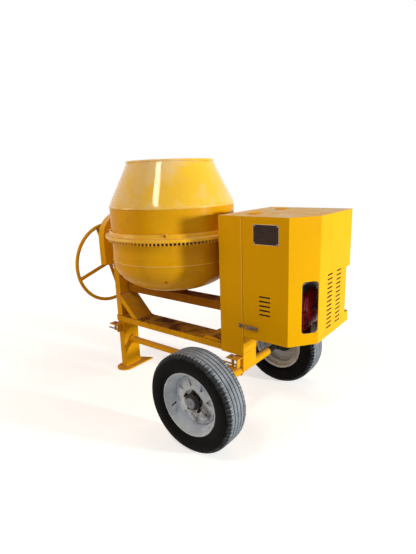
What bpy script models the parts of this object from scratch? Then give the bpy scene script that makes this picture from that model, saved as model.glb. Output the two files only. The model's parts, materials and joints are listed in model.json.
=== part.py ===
"""Towable tilting-drum concrete mixer, built as an assembly of separate named pieces.

Units are metres and +Z is up. X runs along the machine from the handwheel (-X) to the engine hood (+X),
-Y is the front. The origin lies on the ground under the middle of the whole machine.
Every piece is modelled in place; the object of a moving piece has its origin on its joint's axis.
"""

import math

import bmesh
import bpy
from mathutils import Matrix, Vector

for old_object in list(bpy.data.objects):
    bpy.data.objects.remove(old_object)

# ---------------------------------------------------------------- driving dimensions
GAP = 0.0003  # clearance between pieces that touch
MERGE = 0.00001

# spacing along X
POST_WIDTH = 0.055
CASING_WIDTH = 0.168
HOOD_LENGTH = 0.415
HANDWHEEL_REACH = 0.140  # post's outer face to the handwheel's plane
WHEEL_RIM_TUBE_R = 0.013
LEG_INSET = 0.010  # right leg's outer face, back from the casing's end
AXLE_INSET = 0.035  # axle, back from the right leg's outer face

# frame
SILL_OVER_AXLE = 0.1175
SILL_HEIGHT = 0.045
SILL_HALF_DEPTH = 0.085
SILL_PLATE = 0.007
POST_PLATE = 0.006
FOOT_PLATE = 0.012
FOOT_MARGIN_X = 0.042
FOOT_FRONT_Y = -0.130
FOOT_BACK_Y = 0.180
FOOT_RIB_HEIGHT = 0.085
BRACE_CLEARANCE = 0.010  # under the yoke's arm
BRACE_DEPTH = 0.060
BRACE_HALF_WIDTH = 0.080
PAD_LENGTH = 0.150
PAD_HEIGHT = 0.026
TIE_TUBE_R = 0.024
TIE_COLLAR_R = 0.033
AXLE_TUBE_R = 0.0275
AXLE_STEP = 0.2355  # wheel's centre plane to the shoulder of the axle tube
SPINDLE_R = 0.020
TUBE_WALL = 0.004

# road wheels
TYRE_R = 0.2875
TYRE_WIDTH = 0.177
RIM_R = 0.178
RIM_WIDTH = 0.140
RIM_SHEET = 0.004
TRACK = 0.991
WHEEL_STEPS = 30  # tyre and rim share it, so that their facets line up
HUB_STEPS = 20
HUB_R = 0.048
HUB_FLANGE_R = 0.074
HUB_CAP_R = 0.030
WHEEL_CLEARANCE = 0.020  # sheet metal and tray keep this far from the tyres
HUB_OUT = 0.062  # hub cap's outer face, measured outwards from the wheel's centre plane

# drum; its levels are measured from the trunnions, which lie TRUNNION_OVER_SILL above the sill
TRUNNION_OVER_SILL = 0.610
MOUTH_UP = 0.542
CONE_UP = 0.252
SEAM_DOWN = 0.103
BOTTOM_DOWN = 0.312
MOUTH_R = 0.290
BOWL_R = 0.421
BOTTOM_R = 0.130
DRUM_SHEET = 0.004
DRUM_STEPS = 42
RIM_BEAD = 0.013
BLADE_DEPTH = 0.095
BLADE_THICK = 0.006
BLADE_COUNT = 2
FLANGE_THICK = 0.018
COLLAR_HEIGHT = 0.026
FLANGE_OVERHANG = 0.041  # gear ring's flange, collar and teeth, outwards from the bowl
COLLAR_OVERHANG = 0.018
TOOTH_START = 0.007
TOOTH_LENGTH = 0.021
RING_TEETH = 112
PINION_TEETH = 12
TOOTH_ADDENDUM = 0.008
TOOTH_DEDENDUM = 0.0105

# yoke and tilting gear
ARM_THICK = 0.024
ARM_HALF_WIDTH = 0.042
ARM_CLEARANCE = 0.009  # arm's outer face to the post's inner face
TOOTH_CLEARANCE = 0.003  # teeth to the arm's inner face
BEAM_DROP = 0.048  # yoke beam's top, below the bowl
BEAM_HEIGHT = 0.062
BEAM_HALF_DEPTH = 0.050
TRUNNION_R = 0.0225
SLEEVE_R = 0.030
PINION_SHAFT_R = 0.018
TILT_CENTRES = 0.215  # trunnion's axis down to the handwheel's axis
HANDWHEEL_R = 0.315
HANDWHEEL_SHAFT_R = 0.0125
SPOKE_WIDTH = 0.027
SPOKE_THICK = 0.010
SPOKE_COUNT = 4
SPOKE_ANGLE = 17.0  # degrees between one spoke and the horizontal
TILT_GEAR_TEETH = 48
TILT_PINION_TEETH = 14
TILT_ADDENDUM = 0.006
TILT_DEDENDUM = 0.008
TILT_GEAR_WIDTH = 0.024
GUARD_CLEARANCE = 0.0126  # round the tilt gear's tips
GUARD_WIDTH = 0.060
SHEET = 0.003
DRUM_SPINDLE_R = 0.030
HUB_SKIRT_R = 0.055
DRUM_HUB_R = 0.105

# casing, hood and drive
CASING_FRONT_Y = -0.088
CASING_BACK_Y = 0.540
CASING_OVER_TRUNNION = 0.205
TRUNNION_BACK = 0.042           # drum axis behind the middle of the posts
HOOD_OVER_SILL = 0.080
HOOD_FACET_X = 0.115  # the slanted corner's size along X and along Y
HOOD_FACET_Y = 0.153
HOOD_HINGE_R = 0.005
WINDOW_SILL = 0.070  # the levels of the openings are measured from the hood's lower edge
WINDOW_HEIGHT = 0.305
WINDOW_START = 0.085  # along the slanted corner, from its front edge
WINDOW_END = 0.186
WINDOW_CORNER_R = 0.022
SLOT_HEIGHT = 0.009
SLOT_LENGTH = 0.072
SLOT_PITCH = 0.0270
SLOT_COLUMNS = (0.180, 0.315)  # where the side slots start along Y
FRONT_SLOT_START = 0.114  # from the hood's inner edge
SIDE_SLOT_ROWS = 13
FRONT_SLOT_ROWS = 5
SLOT_TOP = 0.385
FRONT_SLOT_TOP = 0.278
REAR_OPENING_X = 0.300  # measured from the hood's outer side
REAR_OPENING_DEPTH = 0.060
LATCH_LEVEL = 0.072
LATCH_LENGTH = 0.100
LATCH_HALF_THICK = 0.006
BELT_INSET = 0.095  # casing's inner side to the belt's plane
DRIVEN_PULLEY_R = 0.075
ENGINE_PULLEY_R = 0.038
PULLEY_WIDTH = 0.026
PULLEY_STEPS = 20
BELT_WIDTH = 0.013
BELT_THICK = 0.008

# engine, standing on its tray inside the hood
TRAY_OVER_SILL = 0.086
TRAY_THICK = 0.008
CRANK_Y = 0.200
CRANK_OVER_TRAY = 0.179
ENGINE_START = 0.075  # crankcase, from the hood's inner edge and to its outer side
ENGINE_TO_SIDE = 0.130
CRANKCASE_HALF = 0.120
CRANKCASE_HEIGHT = 0.260
HEAD_HALF = 0.085
FIN_HALF = 0.100
FIN_PITCH = 0.022
FIN_THICK = 0.008
FIN_COUNT = 5
ENGINE_HEIGHT = 0.420
STUB_R = 0.012
GEARBOX_R = 0.085
SHROUD_R = 0.130
SHROUD_DEPTH = 0.060
TANK_HEIGHT = 0.130
CAP_R = 0.030

# ---------------------------------------------------------------- places worked out from them
TOOTH_INNER_R = BOWL_R + TOOTH_START
TOOTH_OUTER_R = TOOTH_INNER_R + TOOTH_LENGTH
FLANGE_R = BOWL_R + FLANGE_OVERHANG
COLLAR_R = BOWL_R + COLLAR_OVERHANG
ARM_IN = TOOTH_OUTER_R + TOOTH_CLEARANCE
ARM_OUT = ARM_IN + ARM_THICK
CLEAR_HALF = ARM_OUT + ARM_CLEARANCE  # half the width between the posts
LEFT_REACH = CLEAR_HALF + POST_WIDTH + HANDWHEEL_REACH + WHEEL_RIM_TUBE_R
RIGHT_REACH = CLEAR_HALF + CASING_WIDTH + HOOD_LENGTH
DRUM_X = (LEFT_REACH - RIGHT_REACH) / 2
POST_IN_X = DRUM_X - CLEAR_HALF
POST_OUT_X = POST_IN_X - POST_WIDTH
WALL_X = DRUM_X + CLEAR_HALF
RIGHT_POST_X = WALL_X + SHEET
CASING_RIGHT_X = WALL_X + CASING_WIDTH
HOOD_RIGHT_X = CASING_RIGHT_X + HOOD_LENGTH
LEG_OUT_X = CASING_RIGHT_X - LEG_INSET
LEG_IN_X = LEG_OUT_X - POST_WIDTH
AXLE_X = LEG_OUT_X - AXLE_INSET
HANDWHEEL_X = POST_OUT_X - HANDWHEEL_REACH
BELT_X = WALL_X + BELT_INSET
POST_HALF_DEPTH = SILL_HALF_DEPTH - SILL_PLATE - SHEET

AXLE_Z = TYRE_R
SILL_BOTTOM_Z = AXLE_Z + SILL_OVER_AXLE
SILL_TOP_Z = SILL_BOTTOM_Z + SILL_HEIGHT
TRUNNION_Z = SILL_TOP_Z + TRUNNION_OVER_SILL
MOUTH_Z = TRUNNION_Z + MOUTH_UP
CONE_Z = TRUNNION_Z + CONE_UP
SEAM_Z = TRUNNION_Z - SEAM_DOWN
BOTTOM_Z = TRUNNION_Z - BOTTOM_DOWN
BEAM_TOP_Z = BOTTOM_Z - BEAM_DROP
BEAM_BOTTOM_Z = BEAM_TOP_Z - BEAM_HEIGHT
BRACE_TOP_Z = BEAM_BOTTOM_Z - BRACE_CLEARANCE
HANDWHEEL_Z = TRUNNION_Z - math.sqrt(TILT_CENTRES ** 2 - TRUNNION_BACK ** 2)
TILT_LEAN = math.degrees(math.asin(TRUNNION_BACK / TILT_CENTRES))
GUARD_BOTTOM_Z = HANDWHEEL_Z + HANDWHEEL_SHAFT_R + 0.0025
POST_TOP_Z = GUARD_BOTTOM_Z + 0.010
CASING_TOP_Z = TRUNNION_Z + CASING_OVER_TRUNNION
CASING_BOTTOM_Z = SILL_BOTTOM_Z - 0.005
HOOD_BOTTOM_Z = SILL_TOP_Z + HOOD_OVER_SILL
WINDOW_BOTTOM_Z = HOOD_BOTTOM_Z + WINDOW_SILL
WINDOW_TOP_Z = WINDOW_BOTTOM_Z + WINDOW_HEIGHT
TRAY_Z = SILL_TOP_Z + TRAY_OVER_SILL
CRANK_Z = TRAY_Z + CRANK_OVER_TRAY

WHEEL_Y = TRACK / 2
WHEEL_IN_Y = WHEEL_Y - TYRE_WIDTH / 2 - WHEEL_CLEARANCE
TOOTH_MID_R = (TOOTH_INNER_R + TOOTH_OUTER_R) / 2
PINION_PITCH_R = TOOTH_MID_R * PINION_TEETH / RING_TEETH
TOOTH_PITCH_Z = TRUNNION_Z + PINION_PITCH_R
FLANGE_Z = TOOTH_PITCH_Z + TOOTH_DEDENDUM
COLLAR_Z = FLANGE_Z + FLANGE_THICK
TILT_GEAR_R = TILT_CENTRES * TILT_GEAR_TEETH / (TILT_GEAR_TEETH + TILT_PINION_TEETH)
TILT_PINION_R = TILT_CENTRES - TILT_GEAR_R
GUARD_R = TILT_GEAR_R + TILT_ADDENDUM + GUARD_CLEARANCE
GUARD_PLATE_X = POST_OUT_X - GAP
GUARD_OUT_X = GUARD_PLATE_X - GUARD_WIDTH
TILT_GEAR_X = GUARD_PLATE_X - SHEET - 0.010 - TILT_GEAR_WIDTH
DRUM_AXIS = (DRUM_X, TRUNNION_BACK, 0.0)
TRUNNION = (DRUM_X, TRUNNION_BACK, TRUNNION_Z)

# ---------------------------------------------------------------- finishes
YELLOW_PAINT = ((0.83, 0.47, 0.01), 0.35, 0.0)
TYRE_RUBBER = ((0.02, 0.02, 0.022), 0.8, 0.0)
SILVER_PAINT = ((0.55, 0.57, 0.60), 0.4, 0.6)
BLACK_STEEL = ((0.015, 0.015, 0.015), 0.5, 0.4)
BARE_STEEL = ((0.45, 0.44, 0.42), 0.35, 1.0)
RED_PAINT = ((0.50, 0.01, 0.02), 0.35, 0.0)
CAST_ALUMINIUM = ((0.50, 0.50, 0.50), 0.5, 0.9)
BELT_RUBBER = ((0.01, 0.01, 0.01), 0.7, 0.0)


def own_material(name, finish):
    """One Principled material for one piece."""
    colour, roughness, metallic = finish
    material = bpy.data.materials.new(name)
    material.use_nodes = True
    shader = material.node_tree.nodes["Principled BSDF"]
    shader.inputs["Base Color"].default_value = (*colour, 1.0)
    shader.inputs["Roughness"].default_value = roughness
    shader.inputs["Metallic"].default_value = metallic
    material.diffuse_color = (*colour, 1.0)
    return material


# ---------------------------------------------------------------- shapes, all in the machine's frame
AXIS_TURNS = {
    "X": Matrix(((0, 0, 1), (1, 0, 0), (0, 1, 0))).to_4x4(),  # (a, b, along) -> (along, a, b)
    "Y": Matrix(((0, 1, 0), (0, 0, 1), (1, 0, 0))).to_4x4(),  # (a, b, along) -> (b, along, a)
    "Z": Matrix.Identity(4),
}


def block(low, high):
    """A box between two corners."""
    shape = bmesh.new()
    bmesh.ops.create_cube(shape, size=1.0)
    size = Vector(high) - Vector(low)
    bmesh.ops.scale(shape, vec=size, verts=shape.verts)
    bmesh.ops.translate(shape, vec=(Vector(low) + Vector(high)) / 2, verts=shape.verts)
    return shape


def prism(outline, axis, start, end):
    """A flat outline carried along one axis: (y, z) points for X, (z, x) for Y and (x, y) for Z."""
    shape = bmesh.new()
    corners = [shape.verts.new((a, b, start)) for a, b in outline]
    face = shape.faces.new(corners)
    pulled = bmesh.ops.extrude_face_region(shape, geom=[face])
    moved = [item for item in pulled["geom"] if isinstance(item, bmesh.types.BMVert)]
    bmesh.ops.translate(shape, vec=(0, 0, end - start), verts=moved)
    bmesh.ops.transform(shape, matrix=AXIS_TURNS[axis], verts=shape.verts)
    return shape


def ring_prism(outer, inner, axis, start, end):
    """A band between two outlines that have the same number of points."""
    shape = bmesh.new()
    loops = [
        [shape.verts.new((a, b, level)) for a, b in outline]
        for level in (start, end)
        for outline in (outer, inner)
    ]
    low_outer, low_inner, high_outer, high_inner = loops
    for first, second in ((low_outer, low_inner), (high_outer, high_inner), (low_outer, high_outer),
                          (low_inner, high_inner)):
        for index, vert in enumerate(first):
            after = (index + 1) % len(first)
            shape.faces.new((vert, first[after], second[after], second[index]))
    bmesh.ops.transform(shape, matrix=AXIS_TURNS[axis], verts=shape.verts)
    return shape


def turned(profile, axis, centre, steps):
    """A closed (radius, along) profile spun about the line through centre along an axis."""
    shape = bmesh.new()
    loop = [shape.verts.new((radius, 0.0, along)) for radius, along in profile]
    edges = [shape.edges.new((loop[i - 1], loop[i])) for i in range(len(loop))]
    bmesh.ops.spin(shape, geom=loop + edges, cent=(0, 0, 0), axis=(0, 0, 1), angle=2 * math.pi,
                   steps=steps, use_merge=True)
    bmesh.ops.remove_doubles(shape, verts=shape.verts, dist=MERGE)
    bmesh.ops.dissolve_degenerate(shape, edges=shape.edges, dist=MERGE)
    bmesh.ops.transform(shape, matrix=Matrix.Translation(centre) @ AXIS_TURNS[axis], verts=shape.verts)
    return shape


def rod(radius, start, end, steps=16):
    """A plain round bar between two points."""
    shape = bmesh.new()
    run = Vector(end) - Vector(start)
    bmesh.ops.create_cone(shape, cap_ends=True, segments=steps, radius1=radius, radius2=radius,
                          depth=run.length)
    turn = run.to_track_quat("Z", "Y").to_matrix().to_4x4()
    middle = (Vector(start) + Vector(end)) / 2
    bmesh.ops.transform(shape, matrix=Matrix.Translation(middle) @ turn, verts=shape.verts)
    return shape


def bore_radius(shaft_r, steps):
    """A bore whose flat facets clear a shaft of this radius by the gap."""
    return (shaft_r + GAP) / math.cos(math.pi / steps)


def hexagon_head(across, height, base, direction=(0, 0, 1)):
    """A bolt head standing on base."""
    top = Vector(base) + Vector(direction) * height
    return rod(across / math.sqrt(3), base, top, steps=6)


def gathered(shapes):
    """Several shapes in one mesh, for a cutter or for pieces that a union joins."""
    whole = bmesh.new()
    for shape in shapes:
        part = bpy.data.meshes.new("part")
        shape.to_mesh(part)
        shape.free()
        whole.from_mesh(part)
        bpy.data.meshes.remove(part)
    return whole


def arc(centre, radius, start, end, steps):
    """Points of a round stretch, with angles in degrees."""
    angles = [math.radians(start + (end - start) * i / steps) for i in range(steps + 1)]
    return [(centre[0] + radius * math.cos(a), centre[1] + radius * math.sin(a)) for a in angles]


def channel(depth, width, plate, web_side):
    """Outline of a channel with flanges at +-depth; its web lies on web_side, +1 or -1, of the width."""
    inner, outer = width
    web = outer if web_side > 0 else inner
    tip = inner if web_side > 0 else outer
    web_in = web - web_side * plate
    half = [(web, depth), (tip, depth), (tip, depth - plate), (web_in, depth - plate)]
    return half + [(a, -b) for a, b in reversed(half)]


def gear_outline(centre, teeth, pitch_r, addendum, dedendum, first_tooth, share=0.44):
    """Straight-sided teeth; share is the tooth's part of the pitch at the pitch circle."""
    step = 360.0 / teeth
    points = []
    for tooth in range(teeth):
        middle = first_tooth + tooth * step
        for radius, half in ((pitch_r - dedendum, share * 0.70), (pitch_r + addendum, share * 0.26)):
            points.append((radius, middle - half * step))
        for radius, half in ((pitch_r + addendum, share * 0.26), (pitch_r - dedendum, share * 0.70)):
            points.append((radius, middle + half * step))
    turns = [(radius, math.radians(angle)) for radius, angle in points]
    return [(centre[0] + radius * math.cos(a), centre[1] + radius * math.sin(a)) for radius, a in turns]


# ---------------------------------------------------------------- objects
def add_object(name, shape, pivot=(0, 0, 0)):
    """Closes a shape's normals, gives its object the pivot as origin and links it."""
    bmesh.ops.remove_doubles(shape, verts=shape.verts, dist=MERGE)
    bmesh.ops.recalc_face_normals(shape, faces=shape.faces)
    bmesh.ops.translate(shape, vec=-Vector(pivot), verts=shape.verts)
    mesh = bpy.data.meshes.new(name)
    shape.to_mesh(mesh)
    shape.free()
    piece = bpy.data.objects.new(name, mesh)
    piece.location = pivot
    bpy.context.scene.collection.objects.link(piece)
    return piece


def make(name, shape, finish, pivot=(0, 0, 0), add=(), cut=()):
    """One finished piece: its body, the shapes joined to it and the shapes cut from it."""
    piece = add_object(name, shape, pivot)
    piece.data.materials.append(own_material(name, finish))
    for operation, helpers in (("UNION", add), ("DIFFERENCE", cut)):
        for number, helper_shape in enumerate(helpers):
            helper = add_object(f"{name}_{operation.lower()}_{number}", helper_shape)
            helper.hide_render = True
            helper.display_type = "WIRE"
            boolean = piece.modifiers.new(f"{operation}_{number}", "BOOLEAN")
            boolean.operation = operation
            boolean.solver = "EXACT"
            boolean.object = helper
    for polygon in piece.data.polygons:
        polygon.use_smooth = True
    piece.data.set_sharp_from_angle(angle=math.radians(35))
    return piece


# ---------------------------------------------------------------- frame
def build_frame():
    sill = channel(SILL_HALF_DEPTH, (SILL_BOTTOM_Z, SILL_TOP_Z), SILL_PLATE, 1)
    make("base_sill", prism([(y, z) for z, y in sill], "X", POST_OUT_X, LEG_OUT_X), YELLOW_PAINT)

    left = channel(POST_HALF_DEPTH, (POST_OUT_X, POST_IN_X), POST_PLATE, 1)
    make("left_post", prism(left, "Z", SILL_TOP_Z + GAP, POST_TOP_Z), YELLOW_PAINT)
    leg_top = SILL_TOP_Z - SILL_PLATE - GAP
    make("left_leg", prism(left, "Z", FOOT_PLATE + GAP, leg_top), YELLOW_PAINT)

    right = channel(POST_HALF_DEPTH, (RIGHT_POST_X, RIGHT_POST_X + POST_WIDTH), POST_PLATE, -1)
    make("right_post", prism(right, "Z", SILL_TOP_Z + GAP, POST_TOP_Z), YELLOW_PAINT)

    leg = channel(POST_HALF_DEPTH, (LEG_IN_X, LEG_OUT_X), POST_PLATE, 1)
    saddle = rod(AXLE_TUBE_R + GAP, (AXLE_X, -POST_HALF_DEPTH * 2, AXLE_Z),
                 (AXLE_X, POST_HALF_DEPTH * 2, AXLE_Z), 24)
    make("right_leg", prism(leg, "Z", AXLE_Z, leg_top), YELLOW_PAINT, cut=[saddle])

    build_foot_plate()
    build_braces()

    tie_z = AXLE_Z - AXLE_TUBE_R - TIE_TUBE_R - GAP
    tie_start = POST_IN_X + GAP
    bore = TIE_TUBE_R - TUBE_WALL
    tie = [(bore, tie_start), (TIE_COLLAR_R, tie_start), (TIE_COLLAR_R, tie_start + 0.030),
           (TIE_TUBE_R, tie_start + 0.030), (TIE_TUBE_R, AXLE_X + 0.045), (bore, AXLE_X + 0.045)]
    make("tie_tube", turned(tie, "X", (0, 0, tie_z), 16), YELLOW_PAINT)

    end, shoulder = WHEEL_Y + HUB_OUT - 0.016, WHEEL_Y - AXLE_STEP
    axle = [(0, -end), (SPINDLE_R, -end), (SPINDLE_R, -shoulder), (AXLE_TUBE_R, -shoulder),
            (AXLE_TUBE_R, shoulder), (SPINDLE_R, shoulder), (SPINDLE_R, end), (0, end)]
    make("axle_beam", turned(axle, "Y", (AXLE_X, 0, AXLE_Z), 24), YELLOW_PAINT)


def build_foot_plate():
    low_x, high_x = POST_OUT_X - FOOT_MARGIN_X, POST_IN_X + FOOT_MARGIN_X
    middle, half = (low_x + high_x) / 2, (high_x - low_x) / 2
    toe = arc((middle, FOOT_FRONT_Y + half), half, 180, 360, 12)
    heel = [(high_x, FOOT_BACK_Y), (low_x, FOOT_BACK_Y - half)]
    rib_y = POST_HALF_DEPTH + GAP
    rib = [(rib_y, FOOT_PLATE / 2), (FOOT_BACK_Y - half, FOOT_PLATE / 2),
           (rib_y, FOOT_PLATE + FOOT_RIB_HEIGHT)]
    make("left_foot_plate", prism(toe + heel, "Z", 0, FOOT_PLATE), YELLOW_PAINT,
         add=[prism(rib, "X", middle - POST_PLATE, middle + POST_PLATE)])


def build_braces():
    start_x, foot_z = POST_IN_X + GAP, SILL_TOP_Z + GAP
    rise = BRACE_TOP_Z - foot_z
    outline = [(BRACE_TOP_Z, start_x), (foot_z, start_x + rise), (foot_z, start_x + rise - BRACE_DEPTH),
               (BRACE_TOP_Z - BRACE_DEPTH, start_x)]
    inner = [(z - POST_PLATE * 1.5, x) for z, x in outline[:2]]
    hollow = [(inner[0][0] + 0.1, inner[0][1] - 0.1), (inner[1][0] - 0.1, inner[1][1] + 0.1),
              (foot_z - 0.3, start_x + 0.1), (BRACE_TOP_Z - 0.3, start_x - 0.2)]
    inside = BRACE_HALF_WIDTH - POST_PLATE
    make("left_brace", prism(outline, "Y", -BRACE_HALF_WIDTH, BRACE_HALF_WIDTH), YELLOW_PAINT,
         cut=[prism(hollow, "Y", -inside, inside)])
    pad_end = WALL_X - 0.012
    pad = [(foot_z, pad_end - PAD_LENGTH), (foot_z, pad_end), (foot_z + PAD_HEIGHT * 0.5, pad_end),
           (foot_z + PAD_HEIGHT, pad_end - PAD_LENGTH * 0.35),
           (foot_z + PAD_HEIGHT * 0.8, pad_end - PAD_LENGTH * 0.8)]
    make("sill_pad", prism(pad, "Y", -BRACE_HALF_WIDTH, BRACE_HALF_WIDTH), YELLOW_PAINT)


# ---------------------------------------------------------------- bearings, guard and handwheel
def on_axis(x):
    """The point of the tilting axis at x."""
    return x, TRUNNION_BACK, TRUNNION_Z


def bearing_block(name, low_x, high_x, bore):
    """A pedestal bearing on a post's top end, with two hexagon bolt heads on its base."""
    base_z, base_top = POST_TOP_Z + GAP, POST_TOP_Z + GAP + 0.012
    neck, boss = 0.036, bore + 0.020
    outline = ([(-POST_HALF_DEPTH, base_z), (POST_HALF_DEPTH, base_z), (POST_HALF_DEPTH, base_top)]
               + arc((TRUNNION_BACK, TRUNNION_Z), boss, -30, 210, 14)
               + [(TRUNNION_BACK - neck, base_top), (-POST_HALF_DEPTH, base_top)])
    middle = (low_x + high_x) / 2
    bolts = [hexagon_head(0.018, 0.010, (middle, y, base_top - 0.001)) for y in (-0.057, -0.022)]
    hole = rod(bore_radius(bore, 24), on_axis(low_x - 0.05), on_axis(high_x + 0.05), 24)
    make(name, prism(outline, "X", low_x, high_x), YELLOW_PAINT, add=[gathered(bolts)], cut=[hole])


def build_supports():
    inset = 0.004
    bearing_block("left_bearing", POST_OUT_X + inset, POST_IN_X - inset, TRUNNION_R)
    bearing_block("right_bearing", RIGHT_POST_X + inset, RIGHT_POST_X + POST_WIDTH - inset, SLEEVE_R)

    web_x = POST_IN_X - POST_PLATE - GAP
    bore = bore_radius(HANDWHEEL_SHAFT_R, 20)
    bush = [(bore, POST_OUT_X), (HANDWHEEL_SHAFT_R + 0.009, POST_OUT_X),
            (HANDWHEEL_SHAFT_R + 0.009, web_x), (bore, web_x)]
    make("handwheel_bush", turned(bush, "X", (0, 0, HANDWHEEL_Z), 20), BARE_STEEL)

    low, inner_r = GUARD_BOTTOM_Z - 0.1, GUARD_R - SHEET
    outer = arc((TRUNNION_BACK, TRUNNION_Z), GUARD_R, 0, 180, 24)
    outer += [(TRUNNION_BACK - GUARD_R, GUARD_BOTTOM_Z), (TRUNNION_BACK + GUARD_R, GUARD_BOTTOM_Z)]
    inner = arc((TRUNNION_BACK, TRUNNION_Z), inner_r, 0, 180, 24)
    inner += [(TRUNNION_BACK - inner_r, low), (TRUNNION_BACK + inner_r, low)]
    hole = rod(TRUNNION_R + 0.004, on_axis(GUARD_OUT_X), on_axis(POST_IN_X), 20)
    make("gear_guard", prism(outer, "X", GUARD_OUT_X, GUARD_PLATE_X), YELLOW_PAINT,
         cut=[prism(inner, "X", GUARD_OUT_X - 0.1, GUARD_PLATE_X - SHEET), hole])


def build_handwheel():
    axis_point = (HANDWHEEL_X, 0, HANDWHEEL_Z)
    inner_end = POST_IN_X - POST_PLATE - 2 * GAP
    outer_end = HANDWHEEL_X - WHEEL_RIM_TUBE_R + 0.001
    shaft = rod(HANDWHEEL_SHAFT_R, (inner_end, 0, HANDWHEEL_Z), (outer_end, 0, HANDWHEEL_Z), 20)
    make("handwheel_shaft", shaft, BARE_STEEL, pivot=axis_point)

    tube = arc((HANDWHEEL_R - WHEEL_RIM_TUBE_R, HANDWHEEL_X), WHEEL_RIM_TUBE_R, 0, 315, 7)
    rim = turned(tube, "X", (0, 0, HANDWHEEL_Z), 32)
    hub_r = HANDWHEEL_SHAFT_R + 0.016
    hub = rod(hub_r, (outer_end + 0.001, 0, HANDWHEEL_Z), (HANDWHEEL_X + 0.028, 0, HANDWHEEL_Z), 20)
    spokes = []
    for number in range(SPOKE_COUNT):
        spoke = block((-SPOKE_THICK / 2, hub_r * 0.5, -SPOKE_WIDTH / 2),
                      (SPOKE_THICK / 2, HANDWHEEL_R - WHEEL_RIM_TUBE_R, SPOKE_WIDTH / 2))
        turn = Matrix.Rotation(math.radians(SPOKE_ANGLE + 360 * number / SPOKE_COUNT), 4, "X")
        bmesh.ops.transform(spoke, matrix=Matrix.Translation(axis_point) @ turn, verts=spoke.verts)
        spokes.append(spoke)
    bore_r = bore_radius(HANDWHEEL_SHAFT_R, 20)
    bore = rod(bore_r, (HANDWHEEL_X - 0.1, 0, HANDWHEEL_Z), (HANDWHEEL_X + 0.1, 0, HANDWHEEL_Z), 20)
    make("handwheel", rim, YELLOW_PAINT, pivot=axis_point, add=[gathered(spokes), hub], cut=[bore])

    pinion = gear_outline((0, HANDWHEEL_Z), TILT_PINION_TEETH, TILT_PINION_R, TILT_ADDENDUM,
                          TILT_DEDENDUM, 90 - TILT_LEAN + 180 / TILT_PINION_TEETH)
    ends = (TILT_GEAR_X - 0.003, TILT_GEAR_X + TILT_GEAR_WIDTH + 0.003)
    bore = rod(bore_r, (ends[0] - 0.05, 0, HANDWHEEL_Z), (ends[1] + 0.05, 0, HANDWHEEL_Z), 20)
    make("tilt_pinion", prism(pinion, "X", *ends), BLACK_STEEL, pivot=axis_point, cut=[bore])


# ---------------------------------------------------------------- yoke, which carries the drum
def yoke_arm(name, low_x, high_x, bore):
    """A flat bar from the cross beam up to the trunnion, round at its top."""
    outline = ([(TRUNNION_BACK + ARM_HALF_WIDTH, BEAM_BOTTOM_Z)]
               + arc((TRUNNION_BACK, TRUNNION_Z), ARM_HALF_WIDTH, 0, 180, 14)
               + [(TRUNNION_BACK - ARM_HALF_WIDTH, BEAM_BOTTOM_Z)])
    hole = rod(bore_radius(bore, 24), on_axis(low_x - 0.05), on_axis(high_x + 0.05), 24)
    make(name, prism(outline, "X", low_x, high_x), YELLOW_PAINT, pivot=TRUNNION, cut=[hole])


def build_yoke():
    yoke_arm("yoke_left_arm", DRUM_X - ARM_OUT, DRUM_X - ARM_IN, TRUNNION_R)
    yoke_arm("yoke_right_arm", DRUM_X + ARM_IN, DRUM_X + ARM_OUT, SLEEVE_R)

    beam = channel(BEAM_HALF_DEPTH, (BEAM_BOTTOM_Z, BEAM_TOP_Z), SILL_PLATE, 1)
    ends = (DRUM_X - ARM_IN + GAP, DRUM_X + ARM_IN - GAP)
    beam = prism([(y + TRUNNION_BACK, z) for z, y in beam], "X", *ends)
    make("yoke_beam", beam, YELLOW_PAINT, pivot=TRUNNION)

    shaft_end = TILT_GEAR_X - 0.012
    shaft = rod(TRUNNION_R, on_axis(shaft_end), on_axis(DRUM_X - ARM_IN), 24)
    make("left_trunnion", shaft, BARE_STEEL, pivot=TRUNNION)

    sleeve_end = RIGHT_POST_X + POST_WIDTH + 0.004
    sleeve_bore = bore_radius(PINION_SHAFT_R, 24)
    sleeve = [(sleeve_bore, DRUM_X + ARM_IN), (SLEEVE_R, DRUM_X + ARM_IN), (SLEEVE_R, sleeve_end),
              (sleeve_bore, sleeve_end)]
    shell = turned(sleeve, "X", on_axis(0), 24)
    make("right_trunnion", shell, BARE_STEEL, pivot=TRUNNION)

    teeth = gear_outline((TRUNNION_BACK, TRUNNION_Z), TILT_GEAR_TEETH, TILT_GEAR_R, TILT_ADDENDUM,
                         TILT_DEDENDUM, -90 - TILT_LEAN)
    hub = rod(TRUNNION_R + 0.018, on_axis(TILT_GEAR_X - 0.010),
              on_axis(TILT_GEAR_X + TILT_GEAR_WIDTH + 0.006), 20)
    bore = rod(bore_radius(TRUNNION_R, 24), on_axis(TILT_GEAR_X - 0.1),
               on_axis(POST_IN_X), 24)
    gear = prism(teeth, "X", TILT_GEAR_X, TILT_GEAR_X + TILT_GEAR_WIDTH)
    make("tilt_gear", gear, BLACK_STEEL, pivot=TRUNNION, add=[hub], cut=[bore])

    foot = BEAM_TOP_Z + GAP
    spindle = [(0, foot), (0.080, foot), (0.080, foot + 0.010), (DRUM_SPINDLE_R, foot + 0.010),
               (DRUM_SPINDLE_R, BOTTOM_Z - 0.008), (0, BOTTOM_Z - 0.008)]
    make("drum_spindle", turned(spindle, "Z", DRUM_AXIS, 24), BARE_STEEL, pivot=TRUNNION)


# ---------------------------------------------------------------- drum
def bowl_wall(inset, top_z, steps=6):
    """(radius, z) points up the bowl: a flat bottom, an elliptic dish and a straight side."""
    radius, bottom = BOWL_R - inset, BOTTOM_Z + inset
    dish = []
    for step in range(steps + 1):
        angle = math.radians(90 * step / steps)
        out = BOTTOM_R + (radius - BOTTOM_R) * math.sin(angle)
        dish.append((out, SEAM_Z - (SEAM_Z - bottom) * math.cos(angle)))
    return [(0, bottom)] + dish + [(radius, top_z)]


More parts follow.
